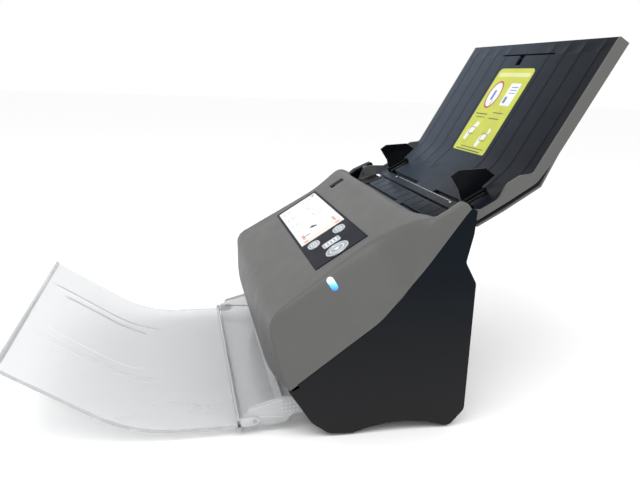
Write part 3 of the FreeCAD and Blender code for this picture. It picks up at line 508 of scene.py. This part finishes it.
def build_cover_shell(material):
    shape = Shape()
    stations = steps(14.0, 56.5, 12) + steps(56.5, 112.5, 16)[1:]
    stations += steps(112.5, 128.0, 5)[1:] + steps(128.0, CREST_START, 6)[1:]
    panel_stations = [(t, 0.0) for t in stations]
    rows = front_rows() + panel_stations
    columns = cover_columns(-HALF_WIDTH, HALF_WIDTH)
    body = [[panel(x, t, shoulder(t, w, x)) for x in columns] for t, w in rows]
    for k, (t, w) in enumerate(front_rows()):
        move = Vector((0, LIP_MOVE, 0)) if k < LIP_ROWS else Vector((0, front_out(t, w), 0))
        body[k] = [point + move * front_share(x) * MM for point, x in zip(body[k], columns)]

    def hole(i, j):
        t = (rows[i][0] + rows[i + 1][0]) / 2
        x = (columns[j] + columns[j + 1]) / 2
        display = 56.5 < t < 112.5 and abs(x) < 114
        lever = 128.0 < t and -99 < x < -85
        return i > 10 and (display or lever)
    shape.grid(body, hole)

    crest = steps(0.0, 1.0, 12)
    inside = [x for x in columns if x <= EAR_INNER]
    rolled = []
    for q in crest:
        rolled.append([crest_point(x, q) for x in inside])
    for fall, back in ((2.2, 0.9), (8.5, 6.5)):
        line = []
        for x in inside:
            t, w = crest_end(x)
            line.append(panel(x, t - back + 0.2 * fall, w - fall))
        rolled.append(line)

    def lever_mouth(i, j):
        x = (inside[j] + inside[j + 1]) / 2
        return crest_curve(0, crest[min(i + 1, 12)])[0] < 147.6 and -99 < x < -85
    shape.grid(rolled, lever_mouth)

    outside = [x for x in columns if x >= EAR_INNER]
    ear = [[ear_root(x, q) for x in outside] for q in crest]
    top_at_root = crest_end(EAR_INNER)
    for k, (t, w) in enumerate(EAR_TOP):
        share = 1 - smoothstep((k + 1) / 4)
        settle = (top_at_root[1] - (-5.1 - ear_drop(EAR_INNER))) * share
        ear.append([panel(x, t, w - ear_drop(x) + settle) for x in outside])
    shape.grid(ear)
    inner_edge = [row[0] for row in ear[len(crest) - 1:]]
    foot = []
    for t in [top_at_root[0]] + [t for t, w in EAR_TOP]:
        low = max(-34.0, split_height(t, 1) - 1.0) if t > 186 else -26.0
        foot.append(panel(EAR_INNER, min(t, 192.6), low))
    shape.grid([inner_edge, foot])
    for side, strip in ((1, [row[-1] for row in body] + [row[-1] for row in ear[1:]]),
                        (-1, [row[0] for row in body] + [row[0] for row in rolled[1:13]])):
        skirt = []
        for p in strip:
            t, w = to_panel(p.y / MM - SHIFT, p.z / MM)
            skirt.append(panel(side * HALF_WIDTH, t, min(w, split_height(t, side))))
        shape.grid([strip, skirt])
    return piece("cover_shell", shape, material, "front_cover", ["front_cover_shell"], wall=2.4,
                 sharp=38.0)


def crest_point(x, q):
    t, w = crest_curve(x, q)
    return panel(x, t, shoulder(t, w, x))


def ear_root(x, q):
    t, w = crest_curve(EAR_INNER, q)
    outer = shoulder(t, w, x)
    rise = between([(143.0, 0.0), (155.0, -0.5), (160.0, -1.8), (164.2, -4.0), (167.0, -4.9)], t)
    target = shoulder(t, rise, x)
    share = smoothstep((x - EAR_INNER) / 4.5) * smoothstep((t - 150) / 12)
    drop = (ear_drop(x) - ear_drop(153)) * share * smoothstep((t - 158) / 8)
    return panel(x, t, outer + (target - outer) * share - drop)


def build_cover_back(material):
    """The frame round the paper path on the cover's underside."""
    shape = Shape()
    for x0, x1, u0, u1 in ((-146, 146, -5, 1.5), (-146, 146, 158.5, 161), (-146, -134, 1.5, 158.5),
                           (134, 146, 1.5, 158.5)):
        shape.block(path, x0, x1, u0, u1, 4.6, 7.0)
    shape.block(path, -146, 146, -5, -2.6, 4.6, 11)
    return piece("cover_underside", shape, material, "front_cover", bevel=0.3)


# ---- display and keys ----
def build_screen(light, prints):
    shape = Shape().plate(panel, rounded(-111.3, 38.3, 59.2, 109.8, 1.2), -2.6, 0.1)
    piece("screen_page", shape, light, "front_cover", ["display_screen"], bevel=0.1)
    faint, warm, rose, dark, cool = prints
    icons = Shape()
    for row, a in enumerate((70.5, 90.0)):
        for column, x in enumerate((-96.0, -66.0, -36.0)):
            outer = rounded(x - 9, x + 9, a - 6.5, a + 6.5, 2.5)
            inner = rounded(x - 8, x + 8, a - 5.7, a + 5.7, 2.0)
            ring_plate(icons, panel, outer, inner, 0.10, 0.16)
            icons.plate(panel, rounded(x - 4, x + 3, a - 2.8 + row, a + 2.4, 0.8), 0.10, 0.16)
            icons.plate(panel, rounded(x + 11, x + 13, a - 5, a + 5, 0.6), 0.10, 0.15)
    piece("screen_icons", icons, faint, "front_cover")
    strip = Shape().plate(panel, rounded(26.0, 37.5, 60.5, 108.5, 0.8), 0.10, 0.14)
    piece("screen_strip", strip, warm, "front_cover")
    tabs = Shape()
    for a in (66.0, 103.0):
        tabs.plate(panel, rounded(8.0, 24.0, a - 1.6, a + 1.6, 0.8), 0.10, 0.17)
        tabs.plate(panel, rounded(29.0, 34.0, a - 2.4, a + 2.4, 0.8), 0.14, 0.19)
    piece("screen_tabs", tabs, rose, "front_cover")
    marks = Shape()
    marks.plate(panel, [(-1.5, 77.0), (3.5, 80.2), (5.5, 86.0), (1.0, 84.8), (-4.0, 81.0)], 0.10, 0.18)
    marks.plate(panel, rounded(-104.0, -100.0, 104.0, 106.4, 0.6), 0.10, 0.17)
    marks.plate(panel, rounded(14.5, 16.5, 66.0, 74.0, 0.6), 0.10, 0.17)
    piece("screen_marks", marks, dark, "front_cover")
    dots = Shape()
    for x, a in ((-96, 99.5), (-66, 99.5), (-36, 99.5), (-96, 63.6), (-66, 63.6), (-36, 63.6), (-12, 66.0)):
        dots.plate(panel, ellipse(x, a, 1.6, 1.3, 12), 0.10, 0.16)
    piece("screen_dots", dots, cool, "front_cover")


def ring_plate(shape, point, outer, inner, b0, b1):
    """A flat ring between two outlines with the same number of corners."""
    edges = ((outer, b0), (outer, b1), (inner, b1), (inner, b0))
    loops = [[point(x, a, b) for x, a in line] for line, b in edges]
    count = len(outer)
    faces = []
    for k in range(4):
        n = (k + 1) % 4
        faces += [(k * count + i, k * count + (i + 1) % count, n * count + (i + 1) % count, n * count + i)
                  for i in range(count)]
    shape.add([p for loop in loops for p in loop], faces)


KEY_SHAPES = {"scan_key": (99.0, 84.0, 12.0, 12.0), "wide_key": (76.0, 84.0, 6.0, 9.5),
              "lower_key": (55.0, 69.5, 9.0, 6.5), "upper_key": (55.0, 98.5, 9.0, 6.5)}


def key_outline(name, inset):
    x, a, rx, ra = KEY_SHAPES[name]
    radius = min(rx, ra) - inset if name != "wide_key" else 1.4
    return rounded(x - rx + inset, x + rx - inset, a - ra + inset, a + ra - inset, max(radius - 0.01, 0.5), 7)


def build_keys(silver, pale, ink):
    for name, (x, a, rx, ra) in KEY_SHAPES.items():
        shape = Shape()
        loops = [(0.0, -2.2), (0.0, 0.9), (0.35, 1.25), (1.3, 1.25), (1.6, 0.95)]
        rings = [[panel(px, pa, b) for px, pa in key_outline(name, inset)] for inset, b in loops]
        closed = [ring + ring[:1] for ring in rings]
        shape.grid(closed)
        shape.add(rings[0], [tuple(range(len(rings[0])))])
        shape.add(rings[-1], [tuple(range(len(rings[-1])))])
        shape.block(panel, x - 2, x + 2, a - 2, a + 2, -5.6, -2.2)
        piece(name + "_cap", shape, silver, name, [name])
        face = Shape().plate(panel, key_outline(name, 1.7), 0.93, 1.02)
        piece(name + "_face", face, pale, name)
        glyph = Shape()
        if name == "scan_key":
            ring_plate(glyph, panel, ellipse(x, a, 7.5, 7.5), ellipse(x, a, 6.6, 6.6), 1.0, 1.1)
            glyph.plate(panel, [(x - 2.6, a - 3.4), (x + 3.6, a), (x - 2.6, a + 3.4)], 1.0, 1.1)
        elif name == "wide_key":
            for k in range(4):
                bar = rounded(x - 3.2, x + 3.2, a - 6.4 + 3.7 * k, a - 4.7 + 3.7 * k, 0.4)
                glyph.plate(panel, bar, 1.0, 1.1)
        else:
            outer = rounded(x - 4.6, x + 4.6, a - 3, a + 3, 0.8)
            inner = rounded(x - 3.8, x + 3.8, a - 2.2, a + 2.2, 0.4)
            ring_plate(glyph, panel, outer, inner, 1.0, 1.1)
            glyph.plate(panel, rounded(x - 2.4, x + 2.4, a - 0.5, a + 0.5, 0.3), 1.0, 1.1)
        piece(name + "_glyph", glyph, ink, name)


def build_surround(glossy):
    """The thin raised edge of the dark band round the keys."""
    shape = Shape()
    outer = rounded(-113.7, 113.7, 56.8, 112.2, 0.8)
    inner = rounded(-112.6, 112.6, 57.9, 111.1, 0.6)
    ring_plate(shape, panel, outer, inner, 0.35, 0.62)
    piece("display_edge", shape, glossy, "front_cover")


# ---- input tray ----
RIDGES = (-124, -96, -70, -44, 44, 70, 96, 124)
FLOOR_WIDE = 138.0
TRAY_TOP_A = 135.2


def floor_line():
    """(y, z) points of the tray floor from its foot to its upper end."""
    line = [(62.5, 189.6), (67.0, 191.0), (72.55, 193.15), (77.2, 195.3), (82.0, 198.1)]
    line += [bezier((86.0, 200.7), (91.0, 204.2), (94.0, 207.4), (98.0, 211.0), q) for q in steps(0, 1, 4)]
    line += [(104.0, 216.4)]
    bend = ((109.0, 220.9), (116.5, 227.6), (119.0, 230.8), (123.5, 238.8))
    line += [bezier(*bend, q) for q in steps(0, 1, 6)]
    c, s = math.cos(UPPER_ANGLE), math.sin(UPPER_ANGLE)
    climb = (24.0, 48.0, 72.0, 94.0, 109.0, 120.4, 122.3, 133.0, TRAY_TOP_A)
    line += [(118.0 + a * c, 229.0 + a * s) for a in climb]
    return line


def build_tray_floor(material):
    line = floor_line()
    columns = {-FLOOR_WIDE, FLOOR_WIDE, -52.0, 54.0, -13.0, -2.0, -117.0, 117.0, -25.0, 25.0, -110.0,
               -10.0, 0.0, 12.0, 134.0, -134.0}
    for x in RIDGES:
        columns |= {x - 2.0, x - 1.0, x + 1.0, x + 2.0}
    columns = sorted(columns)
    rows = []
    for i, (y, z) in enumerate(line):
        before, after = line[max(i - 1, 0)], line[min(i + 1, len(line) - 1)]
        run = Vector((after[0] - before[0], after[1] - before[1])).normalized()
        row = []
        for x in columns:
            ridged = any(abs(x - r) < 1.5 for r in RIDGES) and 96.0 < y < 183.0
            up = 0.55 if ridged else 0.0
            row.append(level(x, y - run.y * up, z + run.x * up))
        rows.append(row)
    notch_row = len(line) - 4

    def hole(i, j):
        x = (columns[j] + columns[j + 1]) / 2
        across_slot = i == 2 and 25 < abs(x) < 117
        notch = i == notch_row and -52 < x < 54
        finger = i == notch_row - 1 and -13 < x < -2
        return across_slot or notch or finger
    floor = Shape().grid(rows, hole)
    piece("tray_floor", floor, material, "input_tray", ["tray_inner"], wall=1.8, sharp=24.0)


def build_label(paper, prints):
    red, white, ink, pale, blue = prints
    shape = Shape().plate(upper_tray, rounded(-37.5, 37.5, 1.3, 104.7, 6.0), 0.02, 0.30)
    piece("label_sheet", shape, paper, "input_tray", ["tray_label"])
    whites = Shape()
    whites.plate(upper_tray, ellipse(-17.5, 72.5, 11.5, 15.0), 0.30, 0.34)
    whites.plate(upper_tray, rounded(7.0, 28.0, 60.5, 87.0, 2.0), 0.30, 0.34)
    for x, a, k in ((-18.0, 28.0, 1), (15.5, 22.5, -1)):
        hand = [(x - 10, a - 11), (x - 3, a - 12), (x - 1, a - 3), (x + 4, a - 2), (x + 8, a + 9),
                (x + 2, a + 12), (x - 3 * k, a + 5), (x - 8, a + 1)]
        whites.plate(upper_tray, hand, 0.30, 0.34)
    piece("label_whites", whites, white, "input_tray")
    rings = Shape()
    outer, inner = ellipse(-17.5, 72.5, 13.5, 17.0), ellipse(-17.5, 72.5, 11.2, 14.6)
    ring_plate(rings, upper_tray, outer, inner, 0.30, 0.37)
    piece("label_rings", rings, red, "input_tray")
    lines = Shape()
    strokes = ((-32, -6, 48.0, 49.4), (4, 26, 51.0, 52.2), (-28, -8, 44.4, 45.4), (2, 24, 44.0, 45.2),
               (-30, 26, 4.6, 6.0), (-22, 30, 8.2, 9.2), (-14, -13, 56, 66))
    for x0, x1, a0, a1 in strokes:
        lines.plate(upper_tray, [(x0, a0), (x1, a0), (x1, a1), (x0, a1)], 0.30, 0.345)
    for x, a in ((-18, 28), (15.5, 22.5)):
        ring_plate(lines, upper_tray, rounded(x - 6, x + 6, a - 4.5, a + 4.5, 1.5),
                   rounded(x - 5.2, x + 5.2, a - 3.8, a + 3.8, 1.0), 0.34, 0.37)
    piece("label_lines", lines, ink, "input_tray")
    band = Shape().plate(upper_tray, rounded(-33.0, 34.0, 94.5, 99.5, 1.5), 0.30, 0.34)
    piece("label_band", band, pale, "input_tray")
    page = Shape()
    page.plate(upper_tray, rounded(10.0, 15.0, 63.5, 71.0, 0.8), 0.34, 0.38)
    page.plate(upper_tray, rounded(-20.0, -15.5, 66.0, 78.0, 1.5), 0.34, 0.38)
    for k in range(3):
        page.plate(upper_tray, rounded(12.0, 25.0, 75.0 + 3.4 * k, 75.9 + 3.4 * k, 0.3), 0.34, 0.37)
    piece("label_pages", page, blue, "input_tray")


def build_scale(strip):
    """The toothed edge in front of the guides' slot, with a bright pin at each end."""
    base = Shape()
    for k in range(37):
        x = -75.0 + 4.05 * k
        base.block(slot_frame, x, x + 2.2, -5.6, -3.1, 0.05, 0.75)
    base.block(slot_frame, -76.0, 75.0, -6.3, -5.6, 0.05, 0.6)
    piece("scale_teeth", base, strip, "input_tray", bevel=0.12)
    pins = Shape()
    for x in (-81.0, 78.0):
        loops = [(1.5, 0.0), (1.5, 0.9), (1.0, 1.4), (0.3, 1.5)]
        rings = [[slot_frame(px, pa, b) for px, pa in ellipse(x, -5.2, r, r, 16)] for r, b in loops]
        pins.grid([ring + ring[:1] for ring in rings])
        pins.add(rings[-1], [tuple(range(16))])
        pins.add(rings[0], [tuple(range(16))])
    piece("scale_pins", pins, strip, "input_tray")


WING = [(-2.5, 33.5), (6.0, 34.5), (29.5, 23.5), (34.8, 13.0), (19.5, 9.6), (19.5, 5.2), (-2.7, 5.2),
        (-2.7, 10.0), (-1.2, 18.0)]
GUIDE_X = 105.0


def build_wing(side, body, material):
    """A guide wing: a folded leaf with two creases, over a barrel on its pin."""
    inner, outer = side * GUIDE_X, side * (GUIDE_X + 2.6)
    creased = side * (GUIDE_X + 0.5)

    def point(x, u, n):
        return slot_frame(x, u, n)
    fold = [(1.0, 24.0), (20.0, 19.0)]
    shape = Shape()
    front = [point(inner if k not in (2, 3) else creased, u, n) for k, (u, n) in enumerate(WING)]
    ridge = [point(side * (GUIDE_X + 1.7), u, n) for u, n in fold]
    back = [point(outer, u, n) for u, n in WING]
    count = len(WING)
    r0, r1 = count, count + 1
    faces = [(0, 1, r0), (1, 2, r1, r0), (2, 3, r1), (3, 4, r1), (4, 5, 6, 7, r0, r1), (7, 8, r0), (8, 0, r0)]
    shift = count + 2
    faces += [tuple(range(shift + count - 1, shift - 1, -1))]
    faces += [(i, (i + 1) % count, shift + (i + 1) % count, shift + i) for i in range(count)]
    shape.add(front + ridge + back, faces)
    turn = [2 * math.pi * k / 20 for k in range(20)]
    rings = [[point(side * (GUIDE_X + 1.5) + 2.2 * math.cos(t), u, 6.0 + 2.2 * math.sin(t)) for t in turn]
             for u in (-2.6, 19.6)]
    shape.grid([ring + ring[:1] for ring in rings])
    for ring in rings:
        shape.add(ring, [tuple(range(20))])
    word = "right" if side > 0 else "left"
    piece("wing_" + word, shape, material, body, ["guide_wing_" + word], bevel=0.25, sharp=8.0)


# ---- hopper ----
def build_hopper(material, dark):
    slope = math.atan2(188.2 - 177.6, 60.0 - 31.5)
    hopper = slanted((31.5, 177.6), slope)
    length = math.hypot(28.5, 10.6)
    plate = Shape().plate(hopper, rounded(-100.0, 100.0, 10.4, length - 0.2, 5.0), -2.4, 0.0)
    plate.plate(hopper, rounded(-100.0, 100.0, 0.0, 4.6, 1.5), -2.4, -0.2)
    for x0, x1 in ((-104.0, 9.0), (24.0, 104.0)):
        plate.block(hopper, x0, x1, 4.6, 10.4, -2.4, -1.9)
    plate.plate(hopper, rounded(9.0, 24.0, 4.4, 10.6, 0.5), -2.4, 0.15)
    for k in range(9):
        x = -84.0 + 21.0 * k
        plate.block(hopper, x - 0.7, x + 0.7, 12.5, length - 2.5, 0.0, 0.35)
    piece("hopper_floor", plate, material, "base", ["hopper_plate"], bevel=0.2)
    ledge = Shape().block(hopper, -132, 132, 2, length - 1, -7.4, -5)
    for side in (-1, 1):
        x0, x1 = sorted((side * 98.0, side * 100.0))
        ledge.block(hopper, x0, x1, 2, length - 1, -7.2, -2.3)
        x0, x1 = sorted((side * 104.0, side * 132.0))
        ledge.block(hopper, x0, x1, 2, length - 1, -4.9, -0.6)
    ledge.block(hopper, -104.0, 104.0, 4.6, 10.4, -3.4, -2.5)
    piece("hopper_ledge", ledge, dark, "base", bevel=0.3)


# ---- output tray ----
FLAT_END = -188.0
BEND_RADIUS = 130.0
RISE = math.radians(33.0)
FLAP_FLAT = 52.0
FLAP_ARC = BEND_RADIUS * RISE
FLAP_LENGTH = FLAP_FLAT + FLAP_ARC + 84.0


def flap_point(x, run, lift):
    """A point of the flap's underside run away from its bead, lifted square to it."""
    if run <= FLAP_FLAT:
        return level(x, -136.0 - run, 8.0 + lift)
    angle = min((run - FLAP_FLAT) / BEND_RADIUS, RISE)
    radius = BEND_RADIUS - lift
    straight = max(run - FLAP_FLAT - FLAP_ARC, 0.0)
    return level(x, FLAT_END - radius * math.sin(angle) - straight * math.cos(RISE),
                 8.0 + BEND_RADIUS - radius * math.cos(angle) + straight * math.sin(RISE))


def box_distance(x, run, low, high, radius):
    """Distance of a point from a rounded rectangle's outline."""
    cx, cr = (low[0] + high[0]) / 2, (low[1] + high[1]) / 2
    hx, hr = (high[0] - low[0]) / 2 - radius, (high[1] - low[1]) / 2 - radius
    dx, dr = abs(x - cx) - hx, abs(run - cr) - hr
    outside = math.hypot(max(dx, 0.0), max(dr, 0.0)) + min(max(dx, dr), 0.0)
    return outside - radius


def flap_lift(x, run):
    """How far the flap's upper face is sunk or raised by its two nested outlines."""
    inner = box_distance(x, run, (-62.0, 88.0), (34.0, 186.0), 9.0)
    outer = box_distance(x, run, (-78.0, 71.0), (57.0, 203.0), 7.0)
    step = -0.9 * smoothstep((1.6 - inner) / 3.2)
    groove = -0.7 * max(1 - abs(outer) / 1.8, 0.0) - 0.5 * max(1 - abs(outer + 3.6) / 1.4, 0.0)
    return step + groove


def build_flap(material, edge_material):
    columns = sorted(set(steps(-145.8, 145.8, 48) + steps(-84, 62, 96)))
    runs = sorted(set(steps(0.0, FLAP_LENGTH, 70) + steps(66.0, 98.0, 24)))
    top = [[flap_point(x, run, 3.0 + flap_lift(x, run)) for x in columns] for run in runs]
    bottom = [[flap_point(x, run, 0.0) for x in columns] for run in runs]
    shape = Shape().grid(top).grid(bottom)
    shape.grid([top[0], bottom[0]]).grid([top[-1], bottom[-1]])
    for j in (0, -1):
        shape.grid([[row[j] for row in top], [row[j] for row in bottom]])
    piece("flap_sheet", shape, material, "output_flap", ["output_flap"], sharp=60.0)
    trim = Shape()
    trim.across(level, rounded(-139.0, -136.05, 4.0, 15.0, 1.2), -145.8, 145.8)
    rim = ((-3.2, 3.15), (-0.2, 4.4), (1.4, 3.6), (1.6, 0.6), (0.1, -0.4))
    bead = [flap_point(-145.8, FLAP_LENGTH + past, lift) for past, lift in rim]
    trim.extrude(bead, Vector((291.6 * MM, 0, 0)))
    lug = [(-139, 8), (-125, 8.6), (-121, 10), (-119.6, 13), (-121, 16), (-124, 17.3), (-139, 15)]
    for side in (-1, 1):
        x0, x1 = sorted((side * 143.1, side * 145.8))
        trim.across(level, lug, x0, x1)
    piece("flap_trim", trim, edge_material, "output_flap", bevel=0.35)


def build_grips(material):
    """Raised diamond grips on the hinge arms of the clear inner section."""
    for side, word in ((1, "right"), (-1, "left")):
        shape = Shape()
        x0, x1 = sorted((side * 142.5, side * 142.95))
        for k in range(7):
            for m in range(3):
                y, z = -99.5 + 3.4 * k, 18.6 + 3.6 * m + 0.35 * k
                if z < 29.0:
                    shape.across(level, [(y - 1.2, z), (y, z - 1.3), (y + 1.2, z), (y, z + 1.3)], x0, x1)
        for y0, z0, y1, z1 in ((-128.0, 21.6, -99.0, 29.6), (-128.5, 15.4, -98.0, 13.4)):
            shape.across(level, [(y0, z0), (y1, z1), (y1, z1 + 1.1), (y0, z0 + 1.1)], x0, x1)
        piece("arm_grip_" + word, shape, material, "output_inner", bevel=0.15)


# ---- make everything ----
add_camera()
add_stage()
cover_grey = finish("cover_grey", (0.098, 0.098, 0.096), 0.46, 3200.0, 0.00006, 0.025, specular=0.3)
# side covers, rear cover, base plate and exit lip: painted shade, lighter at the bottom and darker towards
# the top
side_black = painted_shade_graded("side_black", [(0.0, (0.020, 0.020, 0.021)), (0.35, (0.014, 0.0145, 0.016)),
                                          (0.7, (0.006, 0.0085, 0.012)), (1.0, (0.004, 0.007, 0.011))],
                           0.36, 2800.0, 0.00006)
# tray floor and hopper floor: painted shade, bluish slate on the left darkening towards the right wall
tray_blue = painted_shade_graded("tray_blue", [(0.0, (0.046, 0.060, 0.083)), (0.45, (0.030, 0.039, 0.054)),
                                        (0.75, (0.013, 0.016, 0.023)), (1.0, (0.007, 0.009, 0.013))],
                          0.40, 2400.0, 0.00006, "X", (-0.13, 0.135))
inner_black = finish("inner_black", (0.006, 0.007, 0.009), 0.38, 2400.0, specular=0.08)
gloss_black = finish("gloss_black", (0.002, 0.0035, 0.010), 0.34, 1500.0, 0.00001, 0.1, specular=0.05)
wing_black = finish("wing_black", (0.004, 0.0045, 0.006), 0.28, 2600.0, 0.00003, specular=0.08)
rubber = finish("rubber", (0.014, 0.014, 0.015), 0.8, 1400.0, 0.0001, 0.15, specular=0.2)
steel = finish("steel", (0.52, 0.52, 0.53), 0.32, 900.0, 0.00002, 0.08, 1.0, stretch=(0.05, 1.0, 1.0))
motor = finish("motor_can", (0.40, 0.40, 0.41), 0.38, 900.0, 0.00003, 0.1, 1.0, stretch=(0.05, 1.0, 1.0))
board = finish("board_green", (0.010, 0.075, 0.030), 0.42, 700.0, 0.00004, 0.25)
bush_grey = finish("bush_grey", (0.045, 0.045, 0.046), 0.45, 1800.0, 0.00004, 0.05, specular=0.2)
window_glass = finish("scan_glass", (0.020, 0.024, 0.028), 0.06, 300.0, 0.000004, 0.05)
silver = finish("key_silver", (0.50, 0.53, 0.55), 0.28, 2600.0, 0.00002, 0.05, 0.35)
key_pale = finish("key_pale", (0.30, 0.34, 0.37), 0.35, 1600.0, 0.00004, 0.22)
key_ink = finish("key_ink", (0.75, 0.78, 0.80), 0.40, 1600.0, 0.00002, 0.05)
screen_light = finish("screen_light", (0.86, 0.87, 0.88), 0.18, 900.0, 0.000004, 0.03)
prints = [finish("print_" + word, colour, 0.3, 900.0, 0.00001, 0.05) for word, colour in (
    ("faint", (0.60, 0.64, 0.70)), ("warm", (0.78, 0.68, 0.62)), ("rose", (0.62, 0.36, 0.30)),
    ("dark", (0.012, 0.012, 0.016)), ("cool", (0.42, 0.52, 0.66)))]
label_green = finish("label_green", (0.52, 0.56, 0.045), 0.42, 1400.0, 0.00003, 0.10)
label_prints = [finish("label_" + word, colour, 0.42, 1400.0, 0.00002, 0.06) for word, colour in (
    ("red", (0.42, 0.09, 0.07)), ("white", (0.78, 0.80, 0.80)), ("ink", (0.12, 0.13, 0.03)),
    ("pale", (0.66, 0.69, 0.30)), ("blue", (0.10, 0.16, 0.45)))]
clear = clear_finish("clear_sheet", (0.88, 0.89, 0.90), 0.16, 0.72)
# painted shade: a darker, less clear copy of the clear sheet for the flap's edges and the arm grips
clear_edge_painted_shade = clear_finish("clear_edge_painted_shade", (0.80, 0.82, 0.83), 0.10, 0.55)

build_cover_shell(cover_grey)
build_cover_back(cover_grey)
build_screen(screen_light, prints)
build_keys(silver, key_pale, key_ink)
build_surround(gloss_black)
build_tray_floor(tray_blue)
build_label(label_green, label_prints)
build_scale(silver)
build_wing(1, "right_wing", wing_black)
build_wing(-1, "left_wing", wing_black)
build_hopper(tray_blue, inner_black)
build_flap(clear, clear_edge_painted_shade)
build_grips(clear_edge_painted_shade)

dress(side_black, "left_side_cover", "right_side_cover", "rear_cover", "base_plate", "exit_lip")
dress(steel, "chassis_left", "chassis_right", "cross_bars", "pick_shaft", "transport_shaft", "exit_shaft",
      "cover_hinge_pins", "rear_screws", "pinch_springs")
dress(bush_grey, "shaft_bushes", "pick_pulley", "transport_pulley", "exit_pulley")
dress(rubber, "rubber_feet", "pick_tyres", "transport_tyres", "exit_tyres", "separation_roller",
      "transport_pinch_roller", "exit_pinch_roller", "drive_belt")
dress(board, "main_board", "display_board")
dress(inner_black, "lower_guide", "upper_guide", "lower_scan_unit", "upper_scan_unit", "dc_inlet",
      "usb_socket", "network_socket", "guide_slider_left", "guide_slider_right", "tray_extension",
      "guide_pinion", "release_lever")
dress(window_glass, "lower_scan_glass", "upper_scan_glass")
dress(motor, "drive_motor", "motor_pinion")
dress(cover_grey, "tray_back_shell")
dress(gloss_black, "display_surround")
dress(clear, "output_inner_section")
dress(lit_finish(), "power_key")
